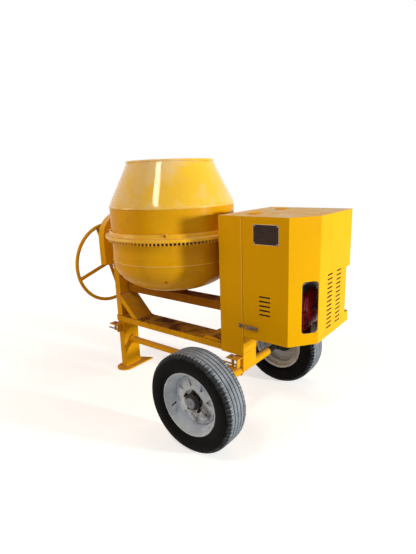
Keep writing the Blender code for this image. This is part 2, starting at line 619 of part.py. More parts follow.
def build_drum():
    pivot = TRUNNION
    bowl_top = CONE_Z - GAP
    profile = bowl_wall(0, bowl_top) + list(reversed(bowl_wall(DRUM_SHEET, bowl_top)))
    make("drum_bowl", turned(profile, "Z", DRUM_AXIS, DRUM_STEPS), YELLOW_PAINT, pivot=pivot)

    lip, cone_top = 0.004, MOUTH_Z - RIM_BEAD - GAP
    cone = [(BOWL_R + lip, CONE_Z), (BOWL_R + lip, CONE_Z + 0.006), (MOUTH_R, cone_top),
            (MOUTH_R - DRUM_SHEET, cone_top), (BOWL_R - DRUM_SHEET, CONE_Z + 0.006),
            (BOWL_R - DRUM_SHEET, CONE_Z)]
    make("drum_cone", turned(cone, "Z", DRUM_AXIS, DRUM_STEPS), YELLOW_PAINT, pivot=pivot)

    bead = [(MOUTH_R - 0.006, MOUTH_Z - RIM_BEAD), (MOUTH_R + 0.004, MOUTH_Z - RIM_BEAD),
            (MOUTH_R + 0.007, MOUTH_Z - RIM_BEAD / 2), (MOUTH_R + 0.004, MOUTH_Z),
            (MOUTH_R - 0.003, MOUTH_Z)]
    make("mouth_rim", turned(bead, "Z", DRUM_AXIS, DRUM_STEPS), YELLOW_PAINT, pivot=pivot)

    build_ring_gear(pivot)

    hub_top, skirt_z = BOTTOM_Z - GAP, BEAM_TOP_Z + 0.0125
    bore = bore_radius(DRUM_SPINDLE_R, 24)
    hub = [(0, BOTTOM_Z - 0.0075), (bore, BOTTOM_Z - 0.0075), (bore, skirt_z), (HUB_SKIRT_R, skirt_z),
           (HUB_SKIRT_R, hub_top - 0.012), (DRUM_HUB_R, hub_top - 0.012), (DRUM_HUB_R, hub_top),
           (0, hub_top)]
    make("drum_hub", turned(hub, "Z", DRUM_AXIS, 24), BLACK_STEEL, pivot=pivot)

    for number in range(BLADE_COUNT):
        build_blade(number, pivot)


def build_ring_gear(pivot):
    """The driven gear ring round the bowl, with its teeth pointing down."""
    inner = BOWL_R + GAP
    collar_top = COLLAR_Z + COLLAR_HEIGHT
    section = [(inner, FLANGE_Z), (FLANGE_R, FLANGE_Z), (FLANGE_R, COLLAR_Z - 0.004),
               (FLANGE_R - 0.004, COLLAR_Z), (COLLAR_R, COLLAR_Z), (COLLAR_R - 0.003, collar_top),
               (inner, collar_top)]
    pitch = 2 * math.pi * TOOTH_MID_R / RING_TEETH
    root, tip = FLANGE_Z, TOOTH_PITCH_Z - TOOTH_ADDENDUM
    outline = [(-pitch * 0.16, tip), (pitch * 0.16, tip), (pitch * 0.27, root + 0.003),
               (-pitch * 0.27, root + 0.003)]
    teeth = []
    for number in range(RING_TEETH):
        tooth = prism(outline, "X", TOOTH_INNER_R, TOOTH_OUTER_R)
        turn = Matrix.Rotation(2 * math.pi * number / RING_TEETH, 4, "Z")
        bmesh.ops.transform(tooth, matrix=Matrix.Translation(DRUM_AXIS) @ turn, verts=tooth.verts)
        teeth.append(tooth)
    ring = turned(section, "Z", DRUM_AXIS, DRUM_STEPS)
    make("ring_gear", ring, YELLOW_PAINT, pivot=pivot, add=[gathered(teeth)])


def build_blade(number, pivot):
    """A mixing blade on edge along the inside of the bowl and the cone."""
    clear = 0.0012
    wall = bowl_wall(DRUM_SHEET + clear, CONE_Z)[2:]
    top_z = CONE_Z + 0.120
    lean = (BOWL_R - MOUTH_R) * (top_z - CONE_Z) / (MOUTH_Z - CONE_Z)
    wall.append((BOWL_R - DRUM_SHEET - clear - lean - 0.002, top_z))
    inner = [(radius - BLADE_DEPTH, max(z, SEAM_Z - 0.07)) for radius, z in reversed(wall[2:])]
    blade = prism([(z, radius) for radius, z in wall + inner], "Y", -BLADE_THICK / 2, BLADE_THICK / 2)
    turn = Matrix.Rotation(2 * math.pi * (number / BLADE_COUNT + 9 / DRUM_STEPS), 4, "Z")
    bmesh.ops.transform(blade, matrix=Matrix.Translation(DRUM_AXIS) @ turn, verts=blade.verts)
    make(f"mixing_blade_{number + 1}", blade, YELLOW_PAINT, pivot=pivot)


# ---------------------------------------------------------------- drive
def pulley_profile(outer_r, low_x, high_x, bore):
    """A pulley with one V-belt groove; the belt fills the groove's upper part."""
    middle, groove, floor = (low_x + high_x) / 2, BELT_WIDTH / 2 + GAP, outer_r - BELT_THICK - 0.002
    return [(bore, low_x), (outer_r, low_x), (outer_r, middle - groove), (floor, middle - groove),
            (floor, middle + groove), (outer_r, middle + groove), (outer_r, high_x), (bore, high_x)]


def build_drive():
    low, high = BELT_X - PULLEY_WIDTH / 2, BELT_X + PULLEY_WIDTH / 2
    tooth_x = (DRUM_X + TOOTH_INNER_R - 0.003, DRUM_X + TOOTH_OUTER_R)
    shaft = rod(PINION_SHAFT_R, on_axis(tooth_x[0]), on_axis(high + 0.008), 20)
    make("pinion_shaft", shaft, BARE_STEEL, pivot=TRUNNION)

    teeth = gear_outline((TRUNNION_BACK, TRUNNION_Z), PINION_TEETH, PINION_PITCH_R, TOOTH_ADDENDUM,
                         TOOTH_DEDENDUM - 0.001, 90 + 180 / PINION_TEETH, share=0.40)
    bore = rod(bore_radius(PINION_SHAFT_R, 20), on_axis(tooth_x[0] - 0.05),
               on_axis(tooth_x[1] + 0.05), 20)
    make("drive_pinion", prism(teeth, "X", *tooth_x), BLACK_STEEL, pivot=TRUNNION, cut=[bore])

    driven = pulley_profile(DRIVEN_PULLEY_R, low, high, bore_radius(PINION_SHAFT_R, PULLEY_STEPS))
    wheel = turned(driven, "X", on_axis(0), PULLEY_STEPS)
    make("driven_pulley", wheel, BLACK_STEEL, pivot=TRUNNION)

    crank = (BELT_X, CRANK_Y, CRANK_Z)
    small = pulley_profile(ENGINE_PULLEY_R, low, high, 0)
    stub_end = CASING_RIGHT_X + 0.020
    small[-1:] = [(STUB_R, high), (STUB_R, stub_end), (0, stub_end)]
    wheel = turned(small, "X", (0, CRANK_Y, CRANK_Z), PULLEY_STEPS)
    make("engine_pulley", wheel, BLACK_STEEL, pivot=crank)

    build_belt()


def build_belt():
    """An open V-belt: two arcs joined by straight runs that touch both pulleys."""
    run_y, run_z = CRANK_Y - TRUNNION_BACK, CRANK_Z - TRUNNION_Z
    distance = math.hypot(run_y, run_z)
    heading = math.degrees(math.atan2(run_z, run_y))
    outlines = []
    for raised in (0.0015, BELT_THICK + 0.001):
        big = DRIVEN_PULLEY_R - BELT_THICK - 0.002 + raised
        small = ENGINE_PULLEY_R - BELT_THICK - 0.002 + raised
        wrap = math.degrees(math.acos((big - small) / distance))
        over = arc((TRUNNION_BACK, TRUNNION_Z), big, heading + wrap, heading + 360 - wrap, 20)
        under = arc((CRANK_Y, CRANK_Z), small, heading - wrap, heading + wrap, 12)
        outlines.append(over + under)
    inner, outer = outlines
    belt = ring_prism(outer, inner, "X", BELT_X - BELT_WIDTH / 2, BELT_X + BELT_WIDTH / 2)
    make("drive_belt", belt, BELT_RUBBER)


def wheel_arch():
    """Room over the far tyre, cut from the casing and the hood."""
    return block((WALL_X - 0.1, WHEEL_IN_Y, 0),
                 (AXLE_X + TYRE_R, CASING_BACK_Y + 0.1, 2 * TYRE_R + WHEEL_CLEARANCE))


def build_casing():
    base = block((WALL_X, CASING_FRONT_Y, CASING_BOTTOM_Z), (CASING_RIGHT_X, CASING_BACK_Y, CASING_TOP_Z))
    plate = SHEET - GAP
    hollow = block((WALL_X + plate, CASING_FRONT_Y + plate, 0),
                   (CASING_RIGHT_X + 0.1, CASING_BACK_Y - plate, CASING_TOP_Z - plate))
    above_sill = block((WALL_X - 0.1, CASING_FRONT_Y + plate, 0),
                       (CASING_RIGHT_X + 0.1, CASING_BACK_Y + 0.1, SILL_TOP_Z + GAP))
    hole = rod(SLEEVE_R + 0.003, on_axis(WALL_X - 0.05), on_axis(WALL_X + 0.02), 24)
    make("drive_casing", base, YELLOW_PAINT, cut=[hollow, above_sill, hole, wheel_arch()])

    hinge_z = CASING_TOP_Z + HOOD_HINGE_R + GAP
    make("hood_hinge", rod(HOOD_HINGE_R, (CASING_RIGHT_X, CASING_FRONT_Y + 0.03, hinge_z),
                           (CASING_RIGHT_X, CASING_BACK_Y - 0.03, hinge_z), 12), BARE_STEEL)


# ---------------------------------------------------------------- hood
def hood_outline(inset, left_x):
    """Plan of the hood, (x, y), with its slanted front corner."""
    slant = math.hypot(HOOD_FACET_X, HOOD_FACET_Y)
    cut_x = inset * (slant - HOOD_FACET_X) / HOOD_FACET_Y
    cut_y = inset * (slant - HOOD_FACET_Y) / HOOD_FACET_X
    right, front, back = HOOD_RIGHT_X - inset, CASING_FRONT_Y + inset, CASING_BACK_Y - inset
    return [(left_x, front), (HOOD_RIGHT_X - HOOD_FACET_X - cut_x, front),
            (right, CASING_FRONT_Y + HOOD_FACET_Y + cut_y), (right, back), (left_x, back)]


def window_cutter():
    """A plate with round corners, set square to the slanted corner."""
    radius = WINDOW_CORNER_R
    near, far = WINDOW_START + radius, WINDOW_END - radius
    low, high = WINDOW_BOTTOM_Z + radius, WINDOW_TOP_Z - radius
    outline = []
    for along, up, start in ((far, high, 0), (near, high, 90), (near, low, 180), (far, low, 270)):
        outline += arc((along, up), radius, start, start + 90, 4)
    cutter = prism(outline, "Z", -0.02, 0.02)
    along = Vector((HOOD_FACET_X, HOOD_FACET_Y, 0)).normalized()
    up = Vector((0, 0, 1))
    frame = Matrix((along, up, along.cross(up))).transposed().to_4x4()
    corner = Matrix.Translation((HOOD_RIGHT_X - HOOD_FACET_X, CASING_FRONT_Y, 0))
    bmesh.ops.transform(cutter, matrix=corner @ frame, verts=cutter.verts)
    return cutter


def build_hood():
    left_x = CASING_RIGHT_X + GAP
    pivot = (CASING_RIGHT_X, (CASING_FRONT_Y + CASING_BACK_Y) / 2, CASING_TOP_Z + HOOD_HINGE_R + GAP)
    shell = prism(hood_outline(0, left_x), "Z", HOOD_BOTTOM_Z, CASING_TOP_Z)
    hollow = prism(hood_outline(SHEET, left_x - 0.1), "Z", 0, CASING_TOP_Z - SHEET)
    slots = []
    for row in range(SIDE_SLOT_ROWS):
        top = HOOD_BOTTOM_Z + SLOT_TOP - row * SLOT_PITCH
        for start in SLOT_COLUMNS:
            slots.append(block((HOOD_RIGHT_X - 0.02, start, top - SLOT_HEIGHT),
                               (HOOD_RIGHT_X + 0.02, start + SLOT_LENGTH, top)))
    slot_x = CASING_RIGHT_X + FRONT_SLOT_START
    for row in range(FRONT_SLOT_ROWS):
        top = HOOD_BOTTOM_Z + FRONT_SLOT_TOP - row * SLOT_PITCH
        slots.append(block((slot_x, CASING_FRONT_Y - 0.02, top - SLOT_HEIGHT),
                           (slot_x + SLOT_LENGTH, CASING_FRONT_Y + 0.02, top)))
    rear = block((HOOD_RIGHT_X - REAR_OPENING_X, CASING_BACK_Y - REAR_OPENING_DEPTH, WINDOW_BOTTOM_Z),
                 (HOOD_RIGHT_X + 0.02, CASING_BACK_Y + 0.02, WINDOW_TOP_Z))
    make("hood", shell, YELLOW_PAINT, pivot=pivot,
         cut=[hollow, window_cutter(), gathered(slots), rear, wheel_arch()])
    build_latch()


def build_latch():
    """A toggle latch: its lever hangs on the hood and its end lies over the keeper on the casing."""
    latch_z, face = HOOD_BOTTOM_Z + LATCH_LEVEL, CASING_FRONT_Y - GAP
    hinge_x, end_x, half = CASING_RIGHT_X + LATCH_LENGTH, CASING_RIGHT_X - 0.002, LATCH_HALF_THICK
    lever = ([(end_x, face - 2 * half), (end_x, face), (hinge_x, face)]
             + arc((hinge_x, face - half), half, 60, -90, 8))
    make("latch_lever", prism(lever, "Z", latch_z - 0.014, latch_z + 0.014), BARE_STEEL,
         pivot=(hinge_x, face - half, latch_z))
    keeper = block((CASING_RIGHT_X - 0.026, face - 0.010, latch_z - 0.010),
                   (end_x - GAP, face, latch_z + 0.010))
    make("latch_keeper", keeper, BARE_STEEL)


# ---------------------------------------------------------------- engine
def build_engine():
    tray_top = TRAY_Z + TRAY_THICK
    left, right = LEG_IN_X - 0.030, HOOD_RIGHT_X - 0.070
    step_x, half = CASING_RIGHT_X + 0.030, POST_HALF_DEPTH - 0.005
    outline = [(left, -half), (step_x, -half), (step_x, 0.020), (right, 0.020), (right, WHEEL_IN_Y),
               (step_x, WHEEL_IN_Y), (step_x, half), (left, half)]
    pedestal = block((left, -half, SILL_TOP_Z + GAP), (LEG_OUT_X, half, TRAY_Z + TRAY_THICK / 2))
    make("engine_tray", prism(outline, "Z", TRAY_Z, tray_top), YELLOW_PAINT, add=[pedestal])

    base = tray_top + GAP
    low_x, high_x = CASING_RIGHT_X + ENGINE_START, HOOD_RIGHT_X - ENGINE_TO_SIDE
    crankcase = block((low_x, CRANK_Y - CRANKCASE_HALF, base),
                      (high_x, CRANK_Y + CRANKCASE_HALF, base + CRANKCASE_HEIGHT))
    head = block((low_x + 0.030, CRANK_Y - HEAD_HALF, base + CRANKCASE_HEIGHT - 0.010),
                 (high_x - 0.030, CRANK_Y + HEAD_HALF, base + ENGINE_HEIGHT))
    fins = []
    for row in range(FIN_COUNT):
        fin_z = base + CRANKCASE_HEIGHT + 0.015 + FIN_PITCH * row
        fins.append(block((low_x + 0.018, CRANK_Y - FIN_HALF, fin_z),
                          (high_x - 0.018, CRANK_Y + FIN_HALF, fin_z + FIN_THICK)))
    make("engine_block", crankcase, RED_PAINT, add=[head, gathered(fins)])

    stub_x, stub_r = CASING_RIGHT_X + 0.012, STUB_R + 0.0005
    gearbox = [(stub_r, low_x - GAP), (stub_r, stub_x), (GEARBOX_R * 0.6, stub_x),
               (GEARBOX_R, stub_x + 0.015), (GEARBOX_R, low_x - GAP)]
    make("reduction_gearbox", turned(gearbox, "X", (0, CRANK_Y, CRANK_Z), 20), CAST_ALUMINIUM)

    shroud_x = high_x + GAP
    shroud_end = shroud_x + SHROUD_DEPTH
    shroud = [(0, shroud_x), (SHROUD_R, shroud_x), (SHROUD_R, shroud_end - 0.020),
              (SHROUD_R - 0.030, shroud_end), (0, shroud_end)]
    make("flywheel_shroud", turned(shroud, "X", (0, CRANK_Y, CRANK_Z), 24), BLACK_STEEL)

    grip_x = shroud_end + GAP
    grip = block((grip_x, CRANK_Y - 0.060, CRANK_Z - 0.012),
                 (grip_x + 0.016, CRANK_Y + 0.010, CRANK_Z + 0.012))
    make("recoil_handle", grip, BLACK_STEEL, pivot=(grip_x, CRANK_Y - 0.025, CRANK_Z))
    build_tank(low_x, high_x, base + ENGINE_HEIGHT + GAP)

    side = FIN_HALF + GAP
    muffler = block((low_x + 0.010, CRANK_Y + side, base + 0.290),
                    (high_x - 0.010, CRANK_Y + 0.210, base + 0.400))
    make("muffler", muffler, BLACK_STEEL)
    middle_x, middle_z = (low_x + high_x) / 2, base + 0.345
    cleaner = rod(0.060, (middle_x, CRANK_Y - side, middle_z),
                  (middle_x, CRANK_Y - 0.200, middle_z), 20)
    make("air_filter", cleaner, BLACK_STEEL)


def build_tank(low_x, high_x, tank_z):
    top_z = tank_z + TANK_HEIGHT
    tank = block((low_x - 0.020, CRANK_Y - 0.130, tank_z), (high_x + 0.040, CRANK_Y + 0.130, top_z))
    neck_x, neck_top = low_x + 0.060, top_z + 0.012
    filler = rod(CAP_R - 0.006, (neck_x, CRANK_Y, top_z - 0.01), (neck_x, CRANK_Y, neck_top), 16)
    make("fuel_tank", tank, RED_PAINT, add=[filler])
    cap_z = neck_top + GAP
    cap = rod(CAP_R, (neck_x, CRANK_Y, cap_z), (neck_x, CRANK_Y, cap_z + 0.018), 16)
    make("fuel_cap", cap, BLACK_STEEL, pivot=(neck_x, CRANK_Y, cap_z))


# ---------------------------------------------------------------- road wheels
def build_wheel(side, outward):
    """One trailer wheel; outward is -1 for the near side (-Y) and +1 for the far side."""
    middle_y = outward * WHEEL_Y
    centre = (AXLE_X, middle_y, AXLE_Z)

    def wheel_part(name, profile, finish, steps):
        shape = turned([(radius, outward * along) for radius, along in profile], "Y", centre, steps)
        make(f"{side}_{name}", shape, finish, pivot=centre)

    half, bead = TYRE_WIDTH / 2, RIM_WIDTH / 2
    seat = RIM_R - 0.013 + GAP
    section = TYRE_R - RIM_R
    belly, shoulder, crown = RIM_R + section * 0.34, RIM_R + section * 0.77, half * 0.66
    tyre = [(seat, -bead + 0.007), (RIM_R, -bead + 0.001), (RIM_R + 0.004, -bead - 0.002),
            (belly, -half + 0.002), (shoulder, -half), (TYRE_R, -crown), (TYRE_R, crown),
            (shoulder, half), (belly, half - 0.002), (RIM_R + 0.004, bead + 0.002),
            (RIM_R, bead - 0.001), (seat, bead - 0.007), (shoulder, crown - 0.008),
            (shoulder, 0.008 - crown)]
    wheel_part("tyre", tyre, TYRE_RUBBER, WHEEL_STEPS)

    seat_r, well_r, well, disc = RIM_R - 0.013, RIM_R - 0.034, 0.034, 0.012
    hub_hole = bore_radius(HUB_R, WHEEL_STEPS)
    barrel = [(RIM_R, -bead), (seat_r, -bead + 0.006), (seat_r, -well - 0.014), (well_r, -well),
              (well_r, well), (seat_r, well + 0.014), (seat_r, bead - 0.006), (RIM_R, bead)]
    outer_seat, outer_well = seat_r - RIM_SHEET, well_r - RIM_SHEET
    inside = [(outer_seat, bead - 0.004), (outer_well, well), (outer_well, disc + RIM_SHEET),
              (hub_hole, disc + RIM_SHEET), (hub_hole, disc), (outer_well, disc), (outer_well, -well),
              (outer_seat, -bead + 0.004)]
    wheel_part("rim", barrel + inside, SILVER_PAINT, WHEEL_STEPS)

    bore, cap = bore_radius(SPINDLE_R, HUB_STEPS), HUB_OUT - 0.012
    flange = disc - 0.002 - GAP
    hub = [(bore, -0.070), (HUB_R * 0.85, -0.070), (HUB_R * 0.85, flange - 0.010),
           (HUB_FLANGE_R, flange - 0.010), (HUB_FLANGE_R, flange), (HUB_R, flange), (HUB_R, cap - 0.004),
           (HUB_CAP_R, cap), (HUB_CAP_R, HUB_OUT), (0, HUB_OUT), (0, HUB_OUT - 0.015),
           (bore, HUB_OUT - 0.015)]
    wheel_part("hub", hub, BLACK_STEEL, HUB_STEPS)


# ---------------------------------------------------------------- drawbar clamps on the legs
def build_clamp(side, leg_low_x, leg_high_x):
    """A bracket on the leg's front flange and the T-handled screw that hangs in it."""
    middle = (leg_low_x + leg_high_x) / 2 - 0.020
    face = -POST_HALF_DEPTH - GAP
    plate_z = SILL_BOTTOM_Z - 0.016
    bracket = block((middle - 0.045, face - 0.058, plate_z - 0.008), (middle + 0.045, face, plate_z))
    cheek = block((middle + 0.020, face - 0.040, plate_z - 0.070), (middle + 0.028, face, plate_z - 0.004))
    screw_x, screw_y, screw_r = middle - 0.012, face - 0.030, 0.009
    hole = rod(bore_radius(screw_r, 16), (screw_x, screw_y, plate_z - 0.05),
               (screw_x, screw_y, plate_z + 0.05), 16)
    make(f"{side}_clamp_bracket", bracket, YELLOW_PAINT, add=[cheek], cut=[hole])
    low_z = plate_z - 0.060
    stem = [(0, low_z), (screw_r, low_z), (screw_r, plate_z + GAP), (screw_r + 0.006, plate_z + GAP),
            (screw_r + 0.006, plate_z + 0.008), (0, plate_z + 0.008)]
    handle = rod(0.006, (screw_x - 0.075, screw_y, low_z + 0.010),
                 (screw_x + 0.022, screw_y, low_z + 0.010), 10)
    make(f"{side}_clamp_screw", turned(stem, "Z", (screw_x, screw_y, 0), 16), YELLOW_PAINT,
         pivot=(screw_x, screw_y, plate_z), add=[handle])


build_frame()
build_supports()
build_handwheel()
build_yoke()
build_drum()
build_drive()
build_casing()
build_hood()
build_engine()
for wheel_side, wheel_direction in (("near", -1), ("far", 1)):
    build_wheel(wheel_side, wheel_direction)
build_clamp("left", POST_OUT_X, POST_IN_X)
build_clamp("right", LEG_IN_X, LEG_OUT_X)
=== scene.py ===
"""Looks of a towable tilting-drum concrete mixer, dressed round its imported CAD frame.

Every sub-assembly is a class. It reads where its CAD nodes lie, builds finer pieces in their place and gives
each one a procedural finish. Units are metres; -Y is the machine's front and +X its engine side.
"""

from __future__ import annotations

import json
import logging
import math
from dataclasses import dataclass, field, replace
from enum import Enum

import bmesh
import bpy
from mathutils import Matrix, Vector

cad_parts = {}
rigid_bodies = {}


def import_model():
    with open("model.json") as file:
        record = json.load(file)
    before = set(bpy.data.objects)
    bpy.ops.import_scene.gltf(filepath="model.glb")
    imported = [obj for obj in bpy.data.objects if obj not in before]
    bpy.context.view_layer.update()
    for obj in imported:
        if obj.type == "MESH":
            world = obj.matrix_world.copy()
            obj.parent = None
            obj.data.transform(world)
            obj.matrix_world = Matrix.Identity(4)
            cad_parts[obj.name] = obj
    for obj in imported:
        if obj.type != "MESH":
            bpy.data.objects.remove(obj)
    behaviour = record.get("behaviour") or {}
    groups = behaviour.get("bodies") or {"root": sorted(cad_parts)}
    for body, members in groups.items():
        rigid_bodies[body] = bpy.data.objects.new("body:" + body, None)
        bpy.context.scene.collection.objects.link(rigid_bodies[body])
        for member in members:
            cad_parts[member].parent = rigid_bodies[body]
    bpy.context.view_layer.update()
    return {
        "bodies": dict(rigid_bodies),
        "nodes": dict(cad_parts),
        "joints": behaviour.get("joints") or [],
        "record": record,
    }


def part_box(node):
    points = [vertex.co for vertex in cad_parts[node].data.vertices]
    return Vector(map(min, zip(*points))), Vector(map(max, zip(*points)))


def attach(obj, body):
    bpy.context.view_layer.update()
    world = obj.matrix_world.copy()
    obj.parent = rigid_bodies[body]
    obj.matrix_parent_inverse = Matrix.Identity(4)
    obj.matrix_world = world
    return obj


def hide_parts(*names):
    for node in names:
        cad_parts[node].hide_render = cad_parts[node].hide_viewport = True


logging.basicConfig(level=logging.INFO, format="%(name)s: %(message)s")
LOG = logging.getLogger("mixer")

Colour = tuple[float, float, float]
Point = tuple[float, float, float]
Outline = list[tuple[float, float]]
Shape = bmesh.types.BMesh
Socket = bpy.types.NodeSocket

MERGE = 0.00001
SMOOTH_ANGLE = math.radians(38)
ROUND_FROM_ANGLE = 28.0
FULL_TURN = 2 * math.pi
MIX_FIRST, MIX_SECOND, MIX_RESULT = 6, 7, 2
BUMP_STRENGTH, BUMP_HEIGHT = 0.35, 0.0012
RUBBED_ROUGHENS, CEMENT_ROUGHENS, DUST_ROUGHENS = 0.25, 0.45, 0.4


class Along(Enum):
    """A machine axis, with the turn that carries (a, b, along) onto it."""

    X = Matrix(((0, 0, 1), (1, 0, 0), (0, 1, 0))).to_4x4().freeze()
    Y = Matrix(((0, 1, 0), (0, 0, 1), (1, 0, 0))).to_4x4().freeze()
    Z = Matrix.Identity(4).freeze()


class Body(Enum):
    """The moving bodies of the machine."""

    FRAME = "frame"
    YOKE = "yoke"
    DRUM = "drum"
    PINION = "pinion"
    CRANK = "crank"
    HANDWHEEL = "handwheel"
    NEAR_WHEEL = "near_wheel"
    FAR_WHEEL = "far_wheel"
    HOOD = "hood"
    LATCH = "latch"
    RECOIL = "recoil"
    CAP = "cap"
    LEFT_CLAMP = "left_clamp"
    RIGHT_CLAMP = "right_clamp"


# ------------ node wiring
class Graph:
    """Short hand for wiring one node tree."""

    def __init__(self, tree: bpy.types.NodeTree) -> None:
        """Keeps the tree that the nodes go into."""
        self.tree = tree

    def node(self, kind: str, **settings: object) -> bpy.types.Node:
        """Adds a node.

        Args:
            kind: the node's type name, without its ShaderNode prefix.
            settings: properties to set on it.

        Returns:
            The new node.
        """
        made = self.tree.nodes.new(f"ShaderNode{kind}")
        for name, value in settings.items():
            setattr(made, name, value)
        return made

    def feed(self, target: Socket, source: Socket | float | tuple[float, ...]) -> None:
        """Links a socket, or sets its value when the source is a plain number or colour.

        Args:
            target: the input that is fed.
            source: an output to link, or a value.
        """
        if isinstance(source, bpy.types.NodeSocket):
            self.tree.links.new(source, target)
        elif isinstance(source, tuple) and target.type == "RGBA" and len(source) == 3:
            target.default_value = (*source, 1.0)
        else:
            target.default_value = source

    def math(self, operation: str, first: Socket | float, second: Socket | float = 0.0,
             clamp: bool = False) -> Socket:
        """One Math node.

        Args:
            operation: what it works out.
            first: its first value.
            second: its second value.
            clamp: keeps the result from 0 to 1.

        Returns:
            The result.
        """
        made = self.node("Math", operation=operation, use_clamp=clamp)
        self.feed(made.inputs[0], first)
        self.feed(made.inputs[1], second)
        return made.outputs[0]

    def blend(self, share: Socket | float, first: Socket | Colour, second: Socket | Colour) -> Socket:
        """Mixes two colours.

        Args:
            share: how much of the second, from 0 to 1.
            first: the first colour.
            second: the second colour.

        Returns:
            The mixed colour.
        """
        made = self.node("Mix", data_type="RGBA", clamp_factor=True)
        self.feed(made.inputs["Factor"], share)
        self.feed(made.inputs[MIX_FIRST], first)
        self.feed(made.inputs[MIX_SECOND], second)
        return made.outputs[MIX_RESULT]

    def noise(self, vector: Socket, scale: Socket | float, detail: float = 4.0, roughness: float = 0.55,
              distortion: float = 0.0) -> Socket:
        """Fractal noise.

        Args:
            vector: the place it is read at.
            scale: how fine it is.
            detail: number of finer layers.
            roughness: their strength.
            distortion: how far it is pulled about.

        Returns:
            A value around 0.5.
        """
        made = self.node("TexNoise")
        self.feed(made.inputs["Vector"], vector)
        self.feed(made.inputs["Scale"], scale)
        self.feed(made.inputs["Detail"], detail)
        self.feed(made.inputs["Roughness"], roughness)
        self.feed(made.inputs["Distortion"], distortion)
        return made.outputs["Fac"]

    def remap(self, value: Socket, low: Socket | float, high: Socket | float, to_low: Socket | float = 0.0,
              to_high: Socket | float = 1.0) -> Socket:
        """Carries a value from one span to another, clamped.

        Args:
            value: the value.
            low: where the first span starts.
            high: where it ends.
            to_low: what low becomes.
            to_high: what high becomes.

        Returns:
            The carried value.
        """
        made = self.node("MapRange", clamp=True)
        for index, source in enumerate((value, low, high, to_low, to_high)):
            self.feed(made.inputs[index], source)
        return made.outputs[0]

    def place(self) -> Socket:
        """The surface's place in the machine."""
        return self.node("TexCoord").outputs["Object"]

    def stretched(self, vector: Socket, scale: Point, offset: Point = (0, 0, 0),
                  turn: Point = (0, 0, 0)) -> Socket:
        """A vector scaled differently along each axis.

        Args:
            vector: the place.
            scale: factors along X, Y and Z.
            offset: added after scaling and turning.
            turn: Euler angles.

        Returns:
            The new vector.
        """
        made = self.node("Mapping")
        self.feed(made.inputs["Vector"], vector)
        made.inputs["Scale"].default_value = scale
        made.inputs["Location"].default_value = offset
        made.inputs["Rotation"].default_value = turn
        return made.outputs["Vector"]

    def parts(self, vector: Socket) -> list[Socket]:
        """Splits a vector.

        Args:
            vector: the vector.

        Returns:
            Its X, Y and Z.
        """
        made = self.node("SeparateXYZ")
        self.feed(made.inputs[0], vector)
        return list(made.outputs)

    def seen(self) -> Socket:
        """Tells what is looked at from what only receives light.

        Returns:
            1 for rays from the camera, off glossy surfaces and through clear ones, 0 for the rest.
        """
        rays = self.node("LightPath").outputs
        direct = self.math("MAXIMUM", rays["Is Camera Ray"], rays["Is Glossy Ray"])
        return self.math("MAXIMUM", direct, rays["Is Transmission Ray"])

    def distance(self, vector: Socket) -> Socket:
        """Measures a vector.

        Args:
            vector: the vector.

        Returns:
            Its length.
        """
        made = self.node("VectorMath", operation="LENGTH")
        self.feed(made.inputs[0], vector)
        return made.outputs["Value"]

    def bump(self, height: Socket, strength: float, distance: float, normal: Socket | None = None) -> Socket:
        """Turns a height into a normal.

        Args:
            height: the height.
            strength: its effect, 0 to 1.
            distance: metres that a height of 1 stands for.
            normal: a normal to start from.

        Returns:
            The bumped normal.
        """
        made = self.node("Bump")
        made.inputs["Strength"].default_value = strength
        made.inputs["Distance"].default_value = distance
        self.feed(made.inputs["Height"], height)
        if normal is not None:
            self.feed(made.inputs["Normal"], normal)
        return made.outputs["Normal"]


class Effect:
    """A shader node group that several finishes share."""

    def __init__(self, name: str, inputs: dict[str, float | Colour], outputs: dict[str, str]) -> None:
        """Makes the group with its sockets.

        Args:
            name: the group's name.
            inputs: name and default of each input; a tuple is a colour.
            outputs: name and socket type of each output.
        """
        self.tree = bpy.data.node_groups.new(name, "ShaderNodeTree")
        for label, default in inputs.items():
            kind = "NodeSocketColor" if isinstance(default, tuple) else "NodeSocketFloat"
            made = self.tree.interface.new_socket(name=label, in_out="INPUT", socket_type=kind)
            made.default_value = (*default, 1.0) if isinstance(default, tuple) else default
        for label, kind in outputs.items():
            self.tree.interface.new_socket(name=label, in_out="OUTPUT", socket_type=kind)
        self.graph = Graph(self.tree)
        self.given = self.tree.nodes.new("NodeGroupInput").outputs
        self.result = self.tree.nodes.new("NodeGroupOutput").inputs

    def use(self, graph: Graph, **values: Socket | float | Colour) -> bpy.types.NodeOutputs:
        """Places the group in a material.

        Args:
            graph: the material's graph.
            values: inputs by name, with spaces written as underscores.

        Returns:
            The group's outputs.
        """
        made = graph.node("Group", node_tree=self.tree)
        for label, value in values.items():
            graph.feed(made.inputs[label.replace("_", " ")], value)
        return made.outputs


